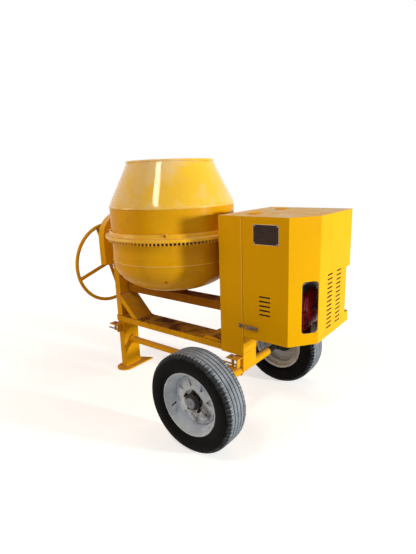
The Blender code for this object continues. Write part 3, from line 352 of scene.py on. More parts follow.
class Effects:
    """All shared effects, each built once."""

    FLOAT = "NodeSocketFloat"

    def __init__(self) -> None:
        """Builds every group."""
        self.tone = self._tone()
        self.dust = self._dust()
        self.cement = self._cement()
        self.edges = self._edges()
        self.streaks = self._streaks()
        self.grain = self._grain()

    def _tone(self) -> Effect:
        """Slow mottling between two colours, with a little fine variation.

        Returns:
            The effect, with a Colour and a Rough to add.
        """
        made = Effect("tone", {"Colour": (0.5, 0.5, 0.5), "Shade": (0.4, 0.4, 0.4), "Scale": 3.0},
                      {"Colour": "NodeSocketColor", "Rough": self.FLOAT})
        graph, given = made.graph, made.given
        place = graph.place()
        broad = graph.noise(place, given["Scale"], 3.0, 0.5, 0.4)
        fine = graph.noise(place, graph.math("MULTIPLY", given["Scale"], 14.0), 5.0, 0.6)
        mixed = graph.math("ADD", graph.math("MULTIPLY", broad, 0.75), graph.math("MULTIPLY", fine, 0.25))
        share = graph.remap(mixed, 0.38, 0.64)
        graph.feed(made.result["Colour"], graph.blend(share, given["Colour"], given["Shade"]))
        graph.feed(made.result["Rough"], graph.remap(fine, 0.3, 0.7, -0.05, 0.08))
        return made

    def _dust(self) -> Effect:
        """Dust that settles on faces that look up, broken by noise, with a thin patchy film everywhere; on
        the cone this film is mostly a painted sheen.

        Returns:
            The effect, with a Mask.
        """
        made = Effect("settled_dust", {"Amount": 0.5, "Film": 0.1, "Scale": 9.0}, {"Mask": self.FLOAT})
        graph, given = made.graph, made.given
        up = graph.parts(graph.node("NewGeometry").outputs["Normal"])[2]
        lying = graph.remap(up, 0.35, 0.95)
        patches = graph.remap(graph.noise(graph.place(), given["Scale"], 5.0, 0.60, 0.5), 0.44, 0.60)
        film = graph.math("MULTIPLY", patches, given["Film"])
        settled = graph.math("MULTIPLY", graph.math("MULTIPLY", lying, given["Amount"]),
                             graph.remap(patches, 0.0, 1.0, 0.45, 1.0))
        graph.feed(made.result["Mask"], graph.math("MAXIMUM", film, settled, clamp=True))
        return made

    def _cement(self) -> Effect:
        """Dried splashes of cement slurry, thickest at one level and fading out at another.

        Returns:
            The effect, with a Mask and a Height.
        """
        made = Effect("cement_splash", {"Amount": 0.5, "Scale": 60.0, "Thick": 0.5, "Clean": 1.2},
                      {"Mask": self.FLOAT, "Height": self.FLOAT})
        graph, given = made.graph, made.given
        place = graph.place()
        level = graph.remap(graph.parts(place)[2], given["Thick"], given["Clean"], 1.0, 0.0)
        reach = graph.math("MULTIPLY", level, given["Amount"])
        cells = graph.node("TexVoronoi", feature="F1", distance="EUCLIDEAN")
        graph.feed(cells.inputs["Vector"], place)
        graph.feed(cells.inputs["Scale"], given["Scale"])
        spots = graph.math("LESS_THAN", cells.outputs["Distance"], graph.math("MULTIPLY", reach, 0.34))
        smears = graph.noise(graph.stretched(place, (9.0, 9.0, 6.0)), 1.6, 8.0, 0.72, 0.5)
        start = graph.math("SUBTRACT", 0.74, graph.math("MULTIPLY", reach, 0.26))
        smear = graph.remap(smears, start, graph.math("ADD", start, 0.09))
        mask = graph.math("MAXIMUM", graph.math("MULTIPLY", spots, 0.85), smear, clamp=True)
        graph.feed(made.result["Mask"], mask)
        crust = graph.remap(graph.noise(place, 240.0, 3.0, 0.6), 0.0, 1.0, 0.5, 1.0)
        graph.feed(made.result["Height"], graph.math("MULTIPLY", mask, crust))
        return made

    def _edges(self) -> Effect:
        """Where an outer edge is rubbed, from how far a rounded normal leaves the true one.

        Returns:
            The effect, with a Mask and the rounded Normal.
        """
        made = Effect("rubbed_edges", {"Amount": 0.5, "Radius": 0.003, "Scale": 45.0},
                      {"Mask": self.FLOAT, "Normal": "NodeSocketVector"})
        graph, given = made.graph, made.given
        rounded = graph.node("Bevel", samples=4)
        graph.feed(rounded.inputs["Radius"], given["Radius"])
        dot = graph.node("VectorMath", operation="DOT_PRODUCT")
        graph.feed(dot.inputs[0], rounded.outputs["Normal"])
        graph.feed(dot.inputs[1], graph.node("NewGeometry").outputs["Normal"])
        turned = graph.math("SUBTRACT", 1.0, dot.outputs["Value"])
        broken = graph.remap(graph.noise(graph.place(), given["Scale"], 6.0, 0.7), 0.42, 0.62)
        worn = graph.math("MULTIPLY", graph.remap(turned, 0.01, 0.14), broken)
        graph.feed(made.result["Mask"], graph.math("MULTIPLY", worn, given["Amount"], clamp=True))
        graph.feed(made.result["Normal"], rounded.outputs["Normal"])
        return made

    def _streaks(self) -> Effect:
        """Long faint runs that water and grime leave down a face.

        Returns:
            The effect, with a Mask.
        """
        made = Effect("runs", {"Amount": 0.5, "Scale": 1.0}, {"Mask": self.FLOAT})
        graph, given = made.graph, made.given
        pulled = graph.stretched(graph.place(), (34.0, 34.0, 2.2))
        lines = graph.remap(graph.noise(pulled, given["Scale"], 4.0, 0.6, 0.15), 0.55, 0.80)
        patch = graph.remap(graph.noise(graph.place(), 3.1, 3.0), 0.40, 0.65)
        faint = graph.math("MULTIPLY", graph.math("MULTIPLY", lines, patch), given["Amount"], clamp=True)
        graph.feed(made.result["Mask"], faint)
        return made

    def _grain(self) -> Effect:
        """Fine surface height: orange peel of sprayed enamel or the grain of a casting.

        Returns:
            The effect, with a Height.
        """
        made = Effect("grain", {"Scale": 300.0, "Coarse": 0.3}, {"Height": self.FLOAT})
        graph, given = made.graph, made.given
        place = graph.place()
        fine = graph.noise(place, given["Scale"], 2.0, 0.5)
        broad = graph.noise(place, graph.math("MULTIPLY", given["Scale"], 0.06), 3.0, 0.5)
        broad = graph.math("MULTIPLY", broad, given["Coarse"])
        graph.feed(made.result["Height"], graph.math("ADD", fine, broad))
        return made


# ------------ finishes
@dataclass(frozen=True)
class Finish:
    """One surface finish and what the building site has left on it."""

    name: str
    colour: Colour
    shade: Colour
    roughness: float
    metallic: float = 0.0
    coat: float = 0.0
    coat_roughness: float = 0.12
    specular: float = 0.5
    tone_scale: float = 3.0
    dust: float = 0.25
    film: float = 0.04
    dust_scale: float = 9.0
    dust_colour: Colour = (0.46, 0.33, 0.20)
    cement: float = 0.0
    cement_colour: Colour = (0.40, 0.29, 0.18)
    thick_level: float = 0.45
    clean_level: float = 1.1
    rubbed: float = 0.0
    under: Colour = (0.09, 0.05, 0.03)
    streaks: float = 0.0
    streak_colour: Colour = (0.30, 0.13, 0.01)
    stain: float = 0.0
    stain_reach: float = 0.12
    stain_colour: Colour = (0.09, 0.055, 0.035)
    stain_at: Point = (0.0, 0.0, 0.0)
    grain: float = 0.15
    grain_scale: float = 260.0
    edge_radius: float = 0.0025

    def material(self, effects: Effects) -> bpy.types.Material:
        """Builds the finish as a material, once.

        Args:
            effects: the shared effect groups.

        Returns:
            The material.
        """
        known = bpy.data.materials.get(self.name)
        if known is not None:
            return known
        made = bpy.data.materials.new(self.name)
        made.use_nodes = True
        graph = Graph(made.node_tree)
        shader = made.node_tree.nodes["Principled BSDF"]
        shader.inputs["Coat Weight"].default_value = self.coat
        shader.inputs["Coat Roughness"].default_value = self.coat_roughness
        shader.inputs["Specular IOR Level"].default_value = self.specular
        shader.inputs["Metallic"].default_value = self.metallic

        tone = effects.tone.use(graph, Colour=self.colour, Shade=self.shade, Scale=self.tone_scale)
        colour = tone["Colour"]
        roughness = graph.math("ADD", tone["Rough"], self.roughness)
        edges = effects.edges.use(graph, Amount=self.rubbed, Radius=self.edge_radius)
        grain = effects.grain.use(graph, Scale=self.grain_scale)
        height = graph.math("MULTIPLY", grain["Height"], self.grain)
        if self.streaks:
            runs = effects.streaks.use(graph, Amount=self.streaks)["Mask"]
            colour = graph.blend(runs, colour, self.streak_colour)
        if self.rubbed:
            colour = graph.blend(edges["Mask"], colour, self.under)
            roughness = graph.math("ADD", roughness, graph.math("MULTIPLY", edges["Mask"], RUBBED_ROUGHENS))
        if self.cement:
            splash = effects.cement.use(graph, Amount=self.cement, Thick=self.thick_level,
                                        Clean=self.clean_level)
            colour = graph.blend(splash["Mask"], colour, self.cement_colour)
            roughness = graph.math("ADD", roughness, graph.math("MULTIPLY", splash["Mask"], CEMENT_ROUGHENS))
            height = graph.math("ADD", height, splash["Height"])
        if self.stain:
            away = graph.stretched(graph.place(), (1, 1, 1), tuple(-value for value in self.stain_at))
            near = graph.remap(graph.distance(away), self.stain_reach * 0.45, self.stain_reach, 1.0, 0.0)
            broken = graph.remap(graph.noise(graph.place(), 24.0, 6.0, 0.65), 0.40, 0.62)
            share = graph.math("MULTIPLY", graph.math("MULTIPLY", near, broken), self.stain)
            colour = graph.blend(share, colour, self.stain_colour)
        dust = effects.dust.use(graph, Amount=self.dust, Film=self.film, Scale=self.dust_scale)["Mask"]
        colour = graph.blend(dust, colour, self.dust_colour)
        roughness = graph.math("ADD", roughness, graph.math("MULTIPLY", dust, DUST_ROUGHENS), clamp=True)
        graph.feed(shader.inputs["Base Color"], colour)
        graph.feed(shader.inputs["Roughness"], roughness)
        graph.feed(shader.inputs["Normal"], graph.bump(height, BUMP_STRENGTH, BUMP_HEIGHT, edges["Normal"]))
        return made


YELLOW: Colour = (0.92, 0.478, 0.001)
YELLOW_SHADE: Colour = (0.87, 0.440, 0.001)

CASING_PAINT = Finish("casing_enamel", YELLOW, YELLOW_SHADE, 0.40, specular=0.04, dust=0.95, film=0.0,
                      dust_colour=(0.95, 0.76, 0.52), rubbed=0.25, under=(0.30, 0.12, 0.01), streaks=0.14,
                      streak_colour=(0.56, 0.22, 0.002), tone_scale=2.2)
# On the cone the patchy film and its tan dust colour are mostly a painted sheen: pale patches that stand for
# surroundings reflected in the gloss, besides a little settled dust on upward faces.
CONE_PAINT_AND_SHEEN = Finish("cone_enamel_and_painted_sheen", (0.98, 0.61, 0.001), (0.94, 0.55, 0.001), 0.20, coat=0.75,
                    coat_roughness=0.05, specular=0.08, dust=0.30, film=0.62, dust_scale=2.9,
                    dust_colour=(0.90, 0.68, 0.36), streaks=0.3, streak_colour=(0.62, 0.28, 0.01), grain=0.05,
                    tone_scale=1.6)
BOWL_PAINT = Finish("bowl_enamel", (0.86, 0.445, 0.001), (0.75, 0.35, 0.001), 0.30, coat=0.06,
                    coat_roughness=0.10, specular=0.04, dust=0.3, film=0.05, dust_scale=4.0,
                    dust_colour=(0.62, 0.40, 0.17), cement=0.14, cement_colour=(0.50, 0.31, 0.12),
                    thick_level=0.66, clean_level=1.0, streaks=0.35, streak_colour=(0.44, 0.17, 0.01),
                    grain=0.08, tone_scale=2.4)
FRAME_PAINT = Finish("frame_enamel", (0.90, 0.455, 0.001), (0.80, 0.37, 0.001), 0.40, specular=0.05, dust=0.7,
                     film=0.04, dust_colour=(0.46, 0.27, 0.10), cement=0.20, cement_colour=(0.46, 0.30, 0.14),
                     thick_level=0.30, clean_level=0.80, rubbed=0.4, under=(0.22, 0.10, 0.02), streaks=0.25)
# The mask for upward faces lays a near-black brown on the sill, so its top is much darker than its sides.
SILL_PAINT = Finish("sill_enamel", (0.90, 0.450, 0.002), (0.76, 0.35, 0.002), 0.45, specular=0.05, dust=1.0,
                    film=0.10, dust_colour=(0.150, 0.062, 0.022), cement=0.55,
                    cement_colour=(0.30, 0.17, 0.07), thick_level=0.44, clean_level=0.62, rubbed=0.4,
                    under=(0.20, 0.08, 0.02), streaks=0.25)
RING_PAINT = Finish("ring_enamel", (1.0, 0.58, 0.020), (0.92, 0.50, 0.010), 0.32, coat=0.2, specular=0.2,
                    dust=0.6, film=0.10, dust_colour=(0.74, 0.52, 0.22), rubbed=0.45,
                    under=(0.34, 0.15, 0.02), streaks=0.2, grain=0.5)
# Dark brown in place of the yellow enamel: painted shade for the yoke in the drum's shadow. Its near-black
# dust colour on upward faces darkens the beam's top further, also painted shadow.
YOKE_PAINTED_SHADE = Finish("yoke_enamel_painted_shade", (0.50, 0.19, 0.001), (0.26, 0.085, 0.001), 0.42, specular=0.04, dust=0.9,
                    film=0.08, dust_colour=(0.16, 0.075, 0.03), cement=0.5, cement_colour=(0.22, 0.11, 0.04),
                    thick_level=0.60, clean_level=0.95, rubbed=0.4, streaks=0.3)
CLAMP_PAINT = Finish("clamp_enamel", (0.50, 0.27, 0.05), (0.30, 0.17, 0.05), 0.40, metallic=0.2, dust=0.4,
                     film=0.18, dust_colour=(0.26, 0.17, 0.10), rubbed=0.9, under=(0.34, 0.30, 0.26),
                     grain=0.5)
CAP_STEEL = Finish("cap_steel", (0.21, 0.24, 0.28), (0.14, 0.155, 0.18), 0.35, metallic=0.5, dust=0.2,
                   film=0.25, dust_colour=(0.16, 0.13, 0.11), rubbed=0.4, under=(0.5, 0.5, 0.5), grain=0.4)
LATCH_STEEL = Finish("latch_steel", (0.20, 0.125, 0.075), (0.10, 0.055, 0.03), 0.40, metallic=0.6, dust=0.3,
                     film=0.2, dust_colour=(0.24, 0.14, 0.07), rubbed=0.7, under=(0.46, 0.40, 0.32),
                     grain=0.4)
# Near-black for the band behind the ring's teeth: painted shade that makes the gaps between the teeth read
# black.
TOOTH_GAP_SHADE = Finish("tooth_gap_painted_shade", (0.035, 0.014, 0.004), (0.012, 0.006, 0.003), 0.35, specular=0.2, dust=0.2,
                film=0.05, dust_colour=(0.08, 0.04, 0.02), grain=0.8, grain_scale=120.0)
# Near-black for the sheets behind the hood's slots: painted shade inside the hood.
SLOT_SHADE_DARK = Finish("slot_sheet_painted_shade", (0.030, 0.016, 0.007), (0.018, 0.011, 0.006), 0.6, specular=0.1, dust=0.3,
                     film=0.1, dust_colour=(0.05, 0.03, 0.02), grain=0.3)
# A brighter yellow than the drum for the seam beads: a painted highlight along the seams.
SEAM_HIGHLIGHT = Finish("seam_painted_highlight", (0.98, 0.66, 0.14), (0.95, 0.60, 0.10), 0.40, specular=0.3, dust=0.2,
                 film=0.1, dust_colour=(0.70, 0.55, 0.35), grain=0.3)
# A brighter yellow for the strip on the casing's corner: a painted highlight along that edge.
HIGHLIGHT_STRIP_YELLOW = Finish("strip_painted_highlight", (1.0, 0.76, 0.06), (1.0, 0.70, 0.05), 0.38, specular=0.42, dust=0.0,
                      film=0.0, grain=0.1)
RIM_SILVER = Finish("rim_silver", (0.84, 0.95, 1.0), (0.60, 0.69, 0.84), 0.42, specular=0.2, dust=0.1,
                    film=0.40, dust_scale=7.0, dust_colour=(0.36, 0.42, 0.52), rubbed=0.25, cement=0.15,
                    cement_colour=(0.26, 0.20, 0.15), thick_level=0.1, clean_level=0.9, grain=0.10)
HUB_BLACK = Finish("hub_black", (0.010, 0.009, 0.009), (0.020, 0.017, 0.014), 0.50, specular=0.2, dust=0.1,
                   film=0.05, dust_colour=(0.06, 0.05, 0.04), rubbed=0.2, under=(0.16, 0.16, 0.16), grain=0.5)
BARE_STEEL = Finish("bare_steel", (0.50, 0.50, 0.49), (0.34, 0.33, 0.31), 0.30, metallic=1.0, dust=0.2,
                    film=0.14, dust_colour=(0.22, 0.15, 0.10), rubbed=0.2, under=(0.60, 0.58, 0.55),
                    streaks=0.3, streak_colour=(0.20, 0.08, 0.03), grain=0.25)
GREASED_STEEL = Finish("greased_steel", (0.10, 0.095, 0.09), (0.03, 0.028, 0.025), 0.28, metallic=0.8,
                       dust=0.15, film=0.10, dust_colour=(0.10, 0.07, 0.04), rubbed=0.5,
                       under=(0.40, 0.39, 0.37), grain=0.4)
ENGINE_RED = Finish("engine_red", (0.52, 0.014, 0.040), (0.34, 0.010, 0.026), 0.32, coat=0.2, specular=0.3,
                    dust=0.3, film=0.10, dust_colour=(0.30, 0.22, 0.17), rubbed=0.4, under=(0.05, 0.04, 0.04))
ENGINE_BLACK = Finish("engine_black", (0.014, 0.014, 0.015), (0.028, 0.026, 0.024), 0.42, dust=0.4,
                      film=0.10, dust_colour=(0.17, 0.13, 0.10), rubbed=0.35, under=(0.16, 0.15, 0.14))
CAST_ALUMINIUM = Finish("cast_aluminium", (0.48, 0.48, 0.48), (0.36, 0.35, 0.34), 0.46, metallic=0.9,
                        dust=0.3, film=0.18, dust_colour=(0.20, 0.15, 0.11), rubbed=0.3,
                        under=(0.70, 0.70, 0.70), grain=0.8, grain_scale=420.0)
ZINC = Finish("zinc_plate", (0.58, 0.57, 0.55), (0.40, 0.38, 0.34), 0.30, metallic=1.0, dust=0.25, film=0.16,
              dust_colour=(0.26, 0.18, 0.11), rubbed=0.3, under=(0.70, 0.68, 0.62), grain=0.3)
BELT_BLACK = Finish("belt_rubber", (0.014, 0.014, 0.014), (0.024, 0.022, 0.020), 0.70, specular=0.3,
                    dust=0.3, film=0.15, dust_colour=(0.14, 0.11, 0.08), grain=0.6)
PLATE_DARK = Finish("nameplate_dark", (0.024, 0.010, 0.006), (0.040, 0.018, 0.010), 0.30, coat=0.05,
                    specular=0.15, dust=0.2, film=0.04, dust_colour=(0.14, 0.08, 0.05), grain=0.03)
PLATE_EDGE = Finish("nameplate_edge", (0.62, 0.52, 0.36), (0.50, 0.40, 0.26), 0.30, metallic=0.7, dust=0.2,
                    film=0.06, dust_colour=(0.30, 0.20, 0.12), grain=0.05)
PLASTIC_BLACK = Finish("black_plastic", (0.018, 0.018, 0.019), (0.028, 0.027, 0.026), 0.50, dust=0.35,
                       film=0.12, dust_colour=(0.18, 0.14, 0.11), grain=0.5, grain_scale=500.0)
WELD_YELLOW = Finish("painted_weld", (0.70, 0.30, 0.004), (0.48, 0.19, 0.006), 0.42, coat=0.2, dust=0.4,
                     film=0.25, dust_colour=(0.26, 0.15, 0.08), grain=0.9, grain_scale=180.0)


@dataclass(frozen=True)
class TyreRubber:
    """Tyre rubber: a black sidewall with fine rings, and a tread that is grey with road dust."""

    name: str
    centre: Point
    radius: float
    tread_start: float = 0.266
    rubber_colour: Colour = (0.0035, 0.0033, 0.0032)
    film_colour: Colour = (0.05, 0.042, 0.035)
    dust_colour: Colour = (0.32, 0.365, 0.440)
    slit_colour: Colour = (0.02, 0.02, 0.022)
    slit_share: float = 0.16
    ring_pitch: float = 1500.0
    sipes: int = 120

    def material(self, effects: Effects) -> bpy.types.Material:
        """Builds the material round the wheel's own centre.

        Args:
            effects: the shared effect groups.

        Returns:
            The material.
        """
        made = bpy.data.materials.new(self.name)
        made.use_nodes = True
        graph = Graph(made.node_tree)
        shader = made.node_tree.nodes["Principled BSDF"]
        shader.inputs["Specular IOR Level"].default_value = 0.05
        offset = tuple(-value for value in self.centre)
        local = graph.stretched(graph.place(), (1, 1, 1), offset)
        across, side, up = graph.parts(local)
        squares = graph.math("ADD", graph.math("MULTIPLY", across, across), graph.math("MULTIPLY", up, up))
        reach = graph.math("SQRT", squares)
        noise = graph.noise(local, 26.0, 7.0, 0.7)
        edge = graph.math("ADD", reach, graph.remap(noise, 0.3, 0.7, -0.004, 0.006))
        tread = graph.remap(edge, self.tread_start, self.tread_start + 0.012)
        groove = graph.remap(reach, self.radius - 0.0065, self.radius - 0.0025, 0.25, 1.0)
        patchy = graph.remap(graph.noise(local, 9.0, 6.0, 0.65), 0.30, 0.62, 0.55, 1.0)
        dusty = graph.math("MULTIPLY", graph.math("MULTIPLY", tread, groove), patchy)
        film = graph.remap(noise, 0.45, 0.75, 0.0, 0.10)
        colour = graph.blend(film, self.rubber_colour, self.film_colour)
        colour = graph.blend(dusty, colour, self.dust_colour)

        turn = graph.math("MULTIPLY", graph.math("ARCTAN2", up, across), self.sipes / FULL_TURN)
        slit = graph.math("LESS_THAN", graph.math("FRACT", turn), self.slit_share)
        shoulder = graph.remap(graph.math("ABSOLUTE", side), 0.030, 0.046, 0.25, 1.0)
        cut = graph.math("MULTIPLY", graph.math("MULTIPLY", slit, shoulder), tread)
        colour = graph.blend(graph.math("MULTIPLY", cut, 0.75), colour, self.slit_colour)
        rings = graph.math("SINE", graph.math("MULTIPLY", reach, self.ring_pitch))
        wall = graph.math("MULTIPLY", rings, graph.remap(reach, 0.222, 0.226, 0.0, 0.25))
        wall = graph.math("MULTIPLY", wall, graph.remap(reach, 0.250, 0.254, 1.0, 0.0))
        height = graph.math("ADD", wall, graph.math("MULTIPLY", cut, -1.0))
        grain = effects.grain.use(graph, Scale=700.0)["Height"]
        height = graph.math("ADD", height, graph.math("MULTIPLY", grain, 0.25))
        graph.feed(shader.inputs["Base Color"], colour)
        graph.feed(shader.inputs["Roughness"], graph.remap(dusty, 0.0, 1.0, 0.58, 0.95))
        graph.feed(shader.inputs["Normal"], graph.bump(height, 0.5, 0.0015))
        return made


# ------------ shapes
def block(low: Point, high: Point, round_by: float = 0.0, segments: int = 2) -> Shape:
    """A box between two corners.

    Args:
        low: its lowest corner.
        high: its highest corner.
        round_by: width of the rounding on its edges.
        segments: faces across the rounding.

    Returns:
        The box.
    """
    shape = bmesh.new()
    bmesh.ops.create_cube(shape, size=1.0)
    bmesh.ops.scale(shape, vec=Vector(high) - Vector(low), verts=shape.verts)
    bmesh.ops.translate(shape, vec=(Vector(low) + Vector(high)) / 2, verts=shape.verts)
    if round_by:
        soften(shape, round_by, segments)
    return shape


def soften(shape: Shape, width: float, segments: int = 2) -> Shape:
    """Rounds every edge that is sharper than ROUND_FROM_ANGLE degrees.

    Args:
        shape: the shape, which is changed.
        width: width of the rounding.
        segments: faces across it.

    Returns:
        The same shape.
    """
    limit = math.radians(ROUND_FROM_ANGLE)
    shape.normal_update()
    sharp = [edge for edge in shape.edges if len(edge.link_faces) == 2 and edge.calc_face_angle(0.0) > limit]
    bmesh.ops.bevel(shape, geom=sharp, offset=width, offset_type="OFFSET", segments=segments, profile=0.5,
                    affect="EDGES", clamp_overlap=True, material=-1)
    return shape


def prism(outline: Outline, along: Along, start: float, end: float, round_by: float = 0.0) -> Shape:
    """A flat outline carried along one axis.

    Args:
        outline: its points: (y, z) for X, (z, x) for Y and (x, y) for Z.
        along: the axis.
        start: where it starts.
        end: where it ends.
        round_by: width of the rounding on its edges.

    Returns:
        The prism.
    """
    shape = bmesh.new()
    face = shape.faces.new([shape.verts.new((a, b, start)) for a, b in outline])
    pulled = bmesh.ops.extrude_face_region(shape, geom=[face])
    moved = [item for item in pulled["geom"] if isinstance(item, bmesh.types.BMVert)]
    bmesh.ops.translate(shape, vec=(0, 0, end - start), verts=moved)
    bmesh.ops.transform(shape, matrix=along.value, verts=shape.verts)
    bmesh.ops.recalc_face_normals(shape, faces=shape.faces)
    return soften(shape, round_by) if round_by else shape


def turned(profile: Outline, along: Along, centre: Point, steps: int = 96) -> Shape:
    """A closed (radius, along) profile spun about an axis through centre.

    Args:
        profile: points of the closed section.
        along: the axis.
        centre: a point on it that the profile is measured from.
        steps: faces round it.

    Returns:
        The turned body, facing out.
    """
    shape = bmesh.new()
    loop = [shape.verts.new((radius, 0.0, level)) for radius, level in profile]
    edges = [shape.edges.new((loop[i - 1], loop[i])) for i in range(len(loop))]
    bmesh.ops.spin(shape, geom=loop + edges, cent=(0, 0, 0), axis=(0, 0, 1), angle=FULL_TURN, steps=steps,
                   use_merge=True)
    bmesh.ops.remove_doubles(shape, verts=shape.verts, dist=MERGE)
    bmesh.ops.delete(shape, geom=[edge for edge in shape.edges if not edge.link_faces], context="EDGES")
    bmesh.ops.transform(shape, matrix=Matrix.Translation(centre) @ along.value, verts=shape.verts)
    bmesh.ops.recalc_face_normals(shape, faces=shape.faces)
    return shape


def rod(radius: float, start: Point, end: Point, steps: int = 24, end_radius: float | None = None) -> Shape:
    """A round bar between two points.

    Args:
        radius: its radius at the start.
        start: where it starts.
        end: where it ends.
        steps: faces round it.
        end_radius: its radius at the end, if it tapers.

    Returns:
        The bar.
    """
    shape = bmesh.new()
    run = Vector(end) - Vector(start)
    far = radius if end_radius is None else end_radius
    bmesh.ops.create_cone(shape, cap_ends=True, segments=steps, radius1=radius, radius2=far, depth=run.length)
    turn = run.to_track_quat("Z", "Y").to_matrix().to_4x4()
    middle = (Vector(start) + Vector(end)) / 2
    bmesh.ops.transform(shape, matrix=Matrix.Translation(middle) @ turn, verts=shape.verts)
    return shape


def tube(points: list[Point], radius: float, sides: int = 10, closed: bool = False) -> Shape:
    """A round wire or pipe along a path.

    Args:
        points: the path.
        radius: its radius.
        sides: faces round it.
        closed: joins the path's end to its start.

    Returns:
        The tube, with filled ends.
    """
    curve = bpy.data.curves.new("path", "CURVE")
    curve.dimensions = "3D"
    curve.bevel_depth = radius
    curve.bevel_resolution = max(0, (sides - 4) // 2)
    curve.use_fill_caps = not closed
    spline = curve.splines.new("POLY")
    spline.points.add(len(points) - 1)
    for place, point in zip(spline.points, points):
        place.co = (*point, 1.0)
    spline.use_cyclic_u = closed
    holder = bpy.data.objects.new("path", curve)
    mesh = bpy.data.meshes.new_from_object(holder)
    shape = bmesh.new()
    shape.from_mesh(mesh)
    bpy.data.meshes.remove(mesh)
    bpy.data.objects.remove(holder)
    bpy.data.curves.remove(curve)
    bmesh.ops.remove_doubles(shape, verts=shape.verts, dist=MERGE)
    bmesh.ops.recalc_face_normals(shape, faces=shape.faces)
    return shape


def gathered(shapes: list[Shape]) -> Shape:
    """Puts several shapes in one.

    Args:
        shapes: the shapes, which are used up.

    Returns:
        One shape with all their faces.
    """
    whole = bmesh.new()
    for shape in shapes:
        part = bpy.data.meshes.new("part")
        shape.to_mesh(part)
        shape.free()
        whole.from_mesh(part)
        bpy.data.meshes.remove(part)
    return whole


def carved(shape: Shape, cutters: list[Shape]) -> Shape:
    """A shape with others cut out of it.

    Args:
        shape: the body.
        cutters: closed bodies, apart from each other.

    Returns:
        What is left.
    """
    holders = []
    for name, body in (("body", shape), ("cutter", gathered(cutters))):
        mesh = bpy.data.meshes.new(name)
        body.to_mesh(mesh)
        body.free()
        holder = bpy.data.objects.new(name, mesh)
        bpy.context.scene.collection.objects.link(holder)
        holders.append(holder)
    cut = holders[0].modifiers.new("cut", "BOOLEAN")
    cut.operation, cut.solver, cut.object = "DIFFERENCE", "EXACT", holders[1]
    bpy.context.view_layer.update()
    result = bmesh.new()
    evaluated = holders[0].evaluated_get(bpy.context.evaluated_depsgraph_get())
    result.from_mesh(evaluated.data)
    for holder in holders:
        mesh = holder.data
        bpy.data.objects.remove(holder)
        bpy.data.meshes.remove(mesh)
    return result


def arc(centre: tuple[float, float], radius: float, start: float, end: float, steps: int) -> Outline:
    """Points of a round stretch, with angles in degrees."""
    angles = [math.radians(start + (end - start) * i / steps) for i in range(steps + 1)]
    return [(centre[0] + radius * math.cos(a), centre[1] + radius * math.sin(a)) for a in angles]


def bolt(base: Point, direction: Point, across: float = 0.019, height: float = 0.008,
         washer: bool = True) -> Shape:
    """A chamfered hexagon head on a washer.

    Args:
        base: where it stands.
        direction: the way it points.
        across: width across its flats.
        height: height of the head.
        washer: puts a washer under it.

    Returns:
        The bolt.
    """
    way = Vector(direction).normalized()
    foot = Vector(base)
    shapes = []
    if washer:
        thick = way * 0.002
        shapes.append(rod(across * 0.68, foot, foot + thick, 20))
        foot = foot + thick
    corner, chamfer_start = across / math.sqrt(3), foot + way * height * 0.82
    shapes.append(rod(corner, foot, chamfer_start, 6))
    shapes.append(rod(corner, chamfer_start, foot + way * height, 6, corner * 0.84))
    return gathered(shapes)


def weld(points: list[Point], radius: float = 0.004, pitch: float = 0.006) -> Shape:
    """A weld bead: overlapping flattened beads along straight runs.

    Args:
        points: corners of the run.
        radius: size of a bead.
        pitch: distance from bead to bead.

    Returns:
        The weld.
    """
    path: list[Vector] = []
    for first, last in zip(points, points[1:]):
        run = Vector(last) - Vector(first)
        count = max(1, round(run.length / pitch))
        path += [Vector(first) + run * (i / count) for i in range(count)]
    path.append(Vector(points[-1]))
    shape = bmesh.new()
    for number, place in enumerate(path):
        swell = 1.0 + 0.12 * math.sin(number * 2.4)
        bead = Matrix.Translation(place) @ Matrix.Diagonal((swell, swell, swell, 1.0))
        bmesh.ops.create_icosphere(shape, subdivisions=1, radius=radius, matrix=bead)
    return shape


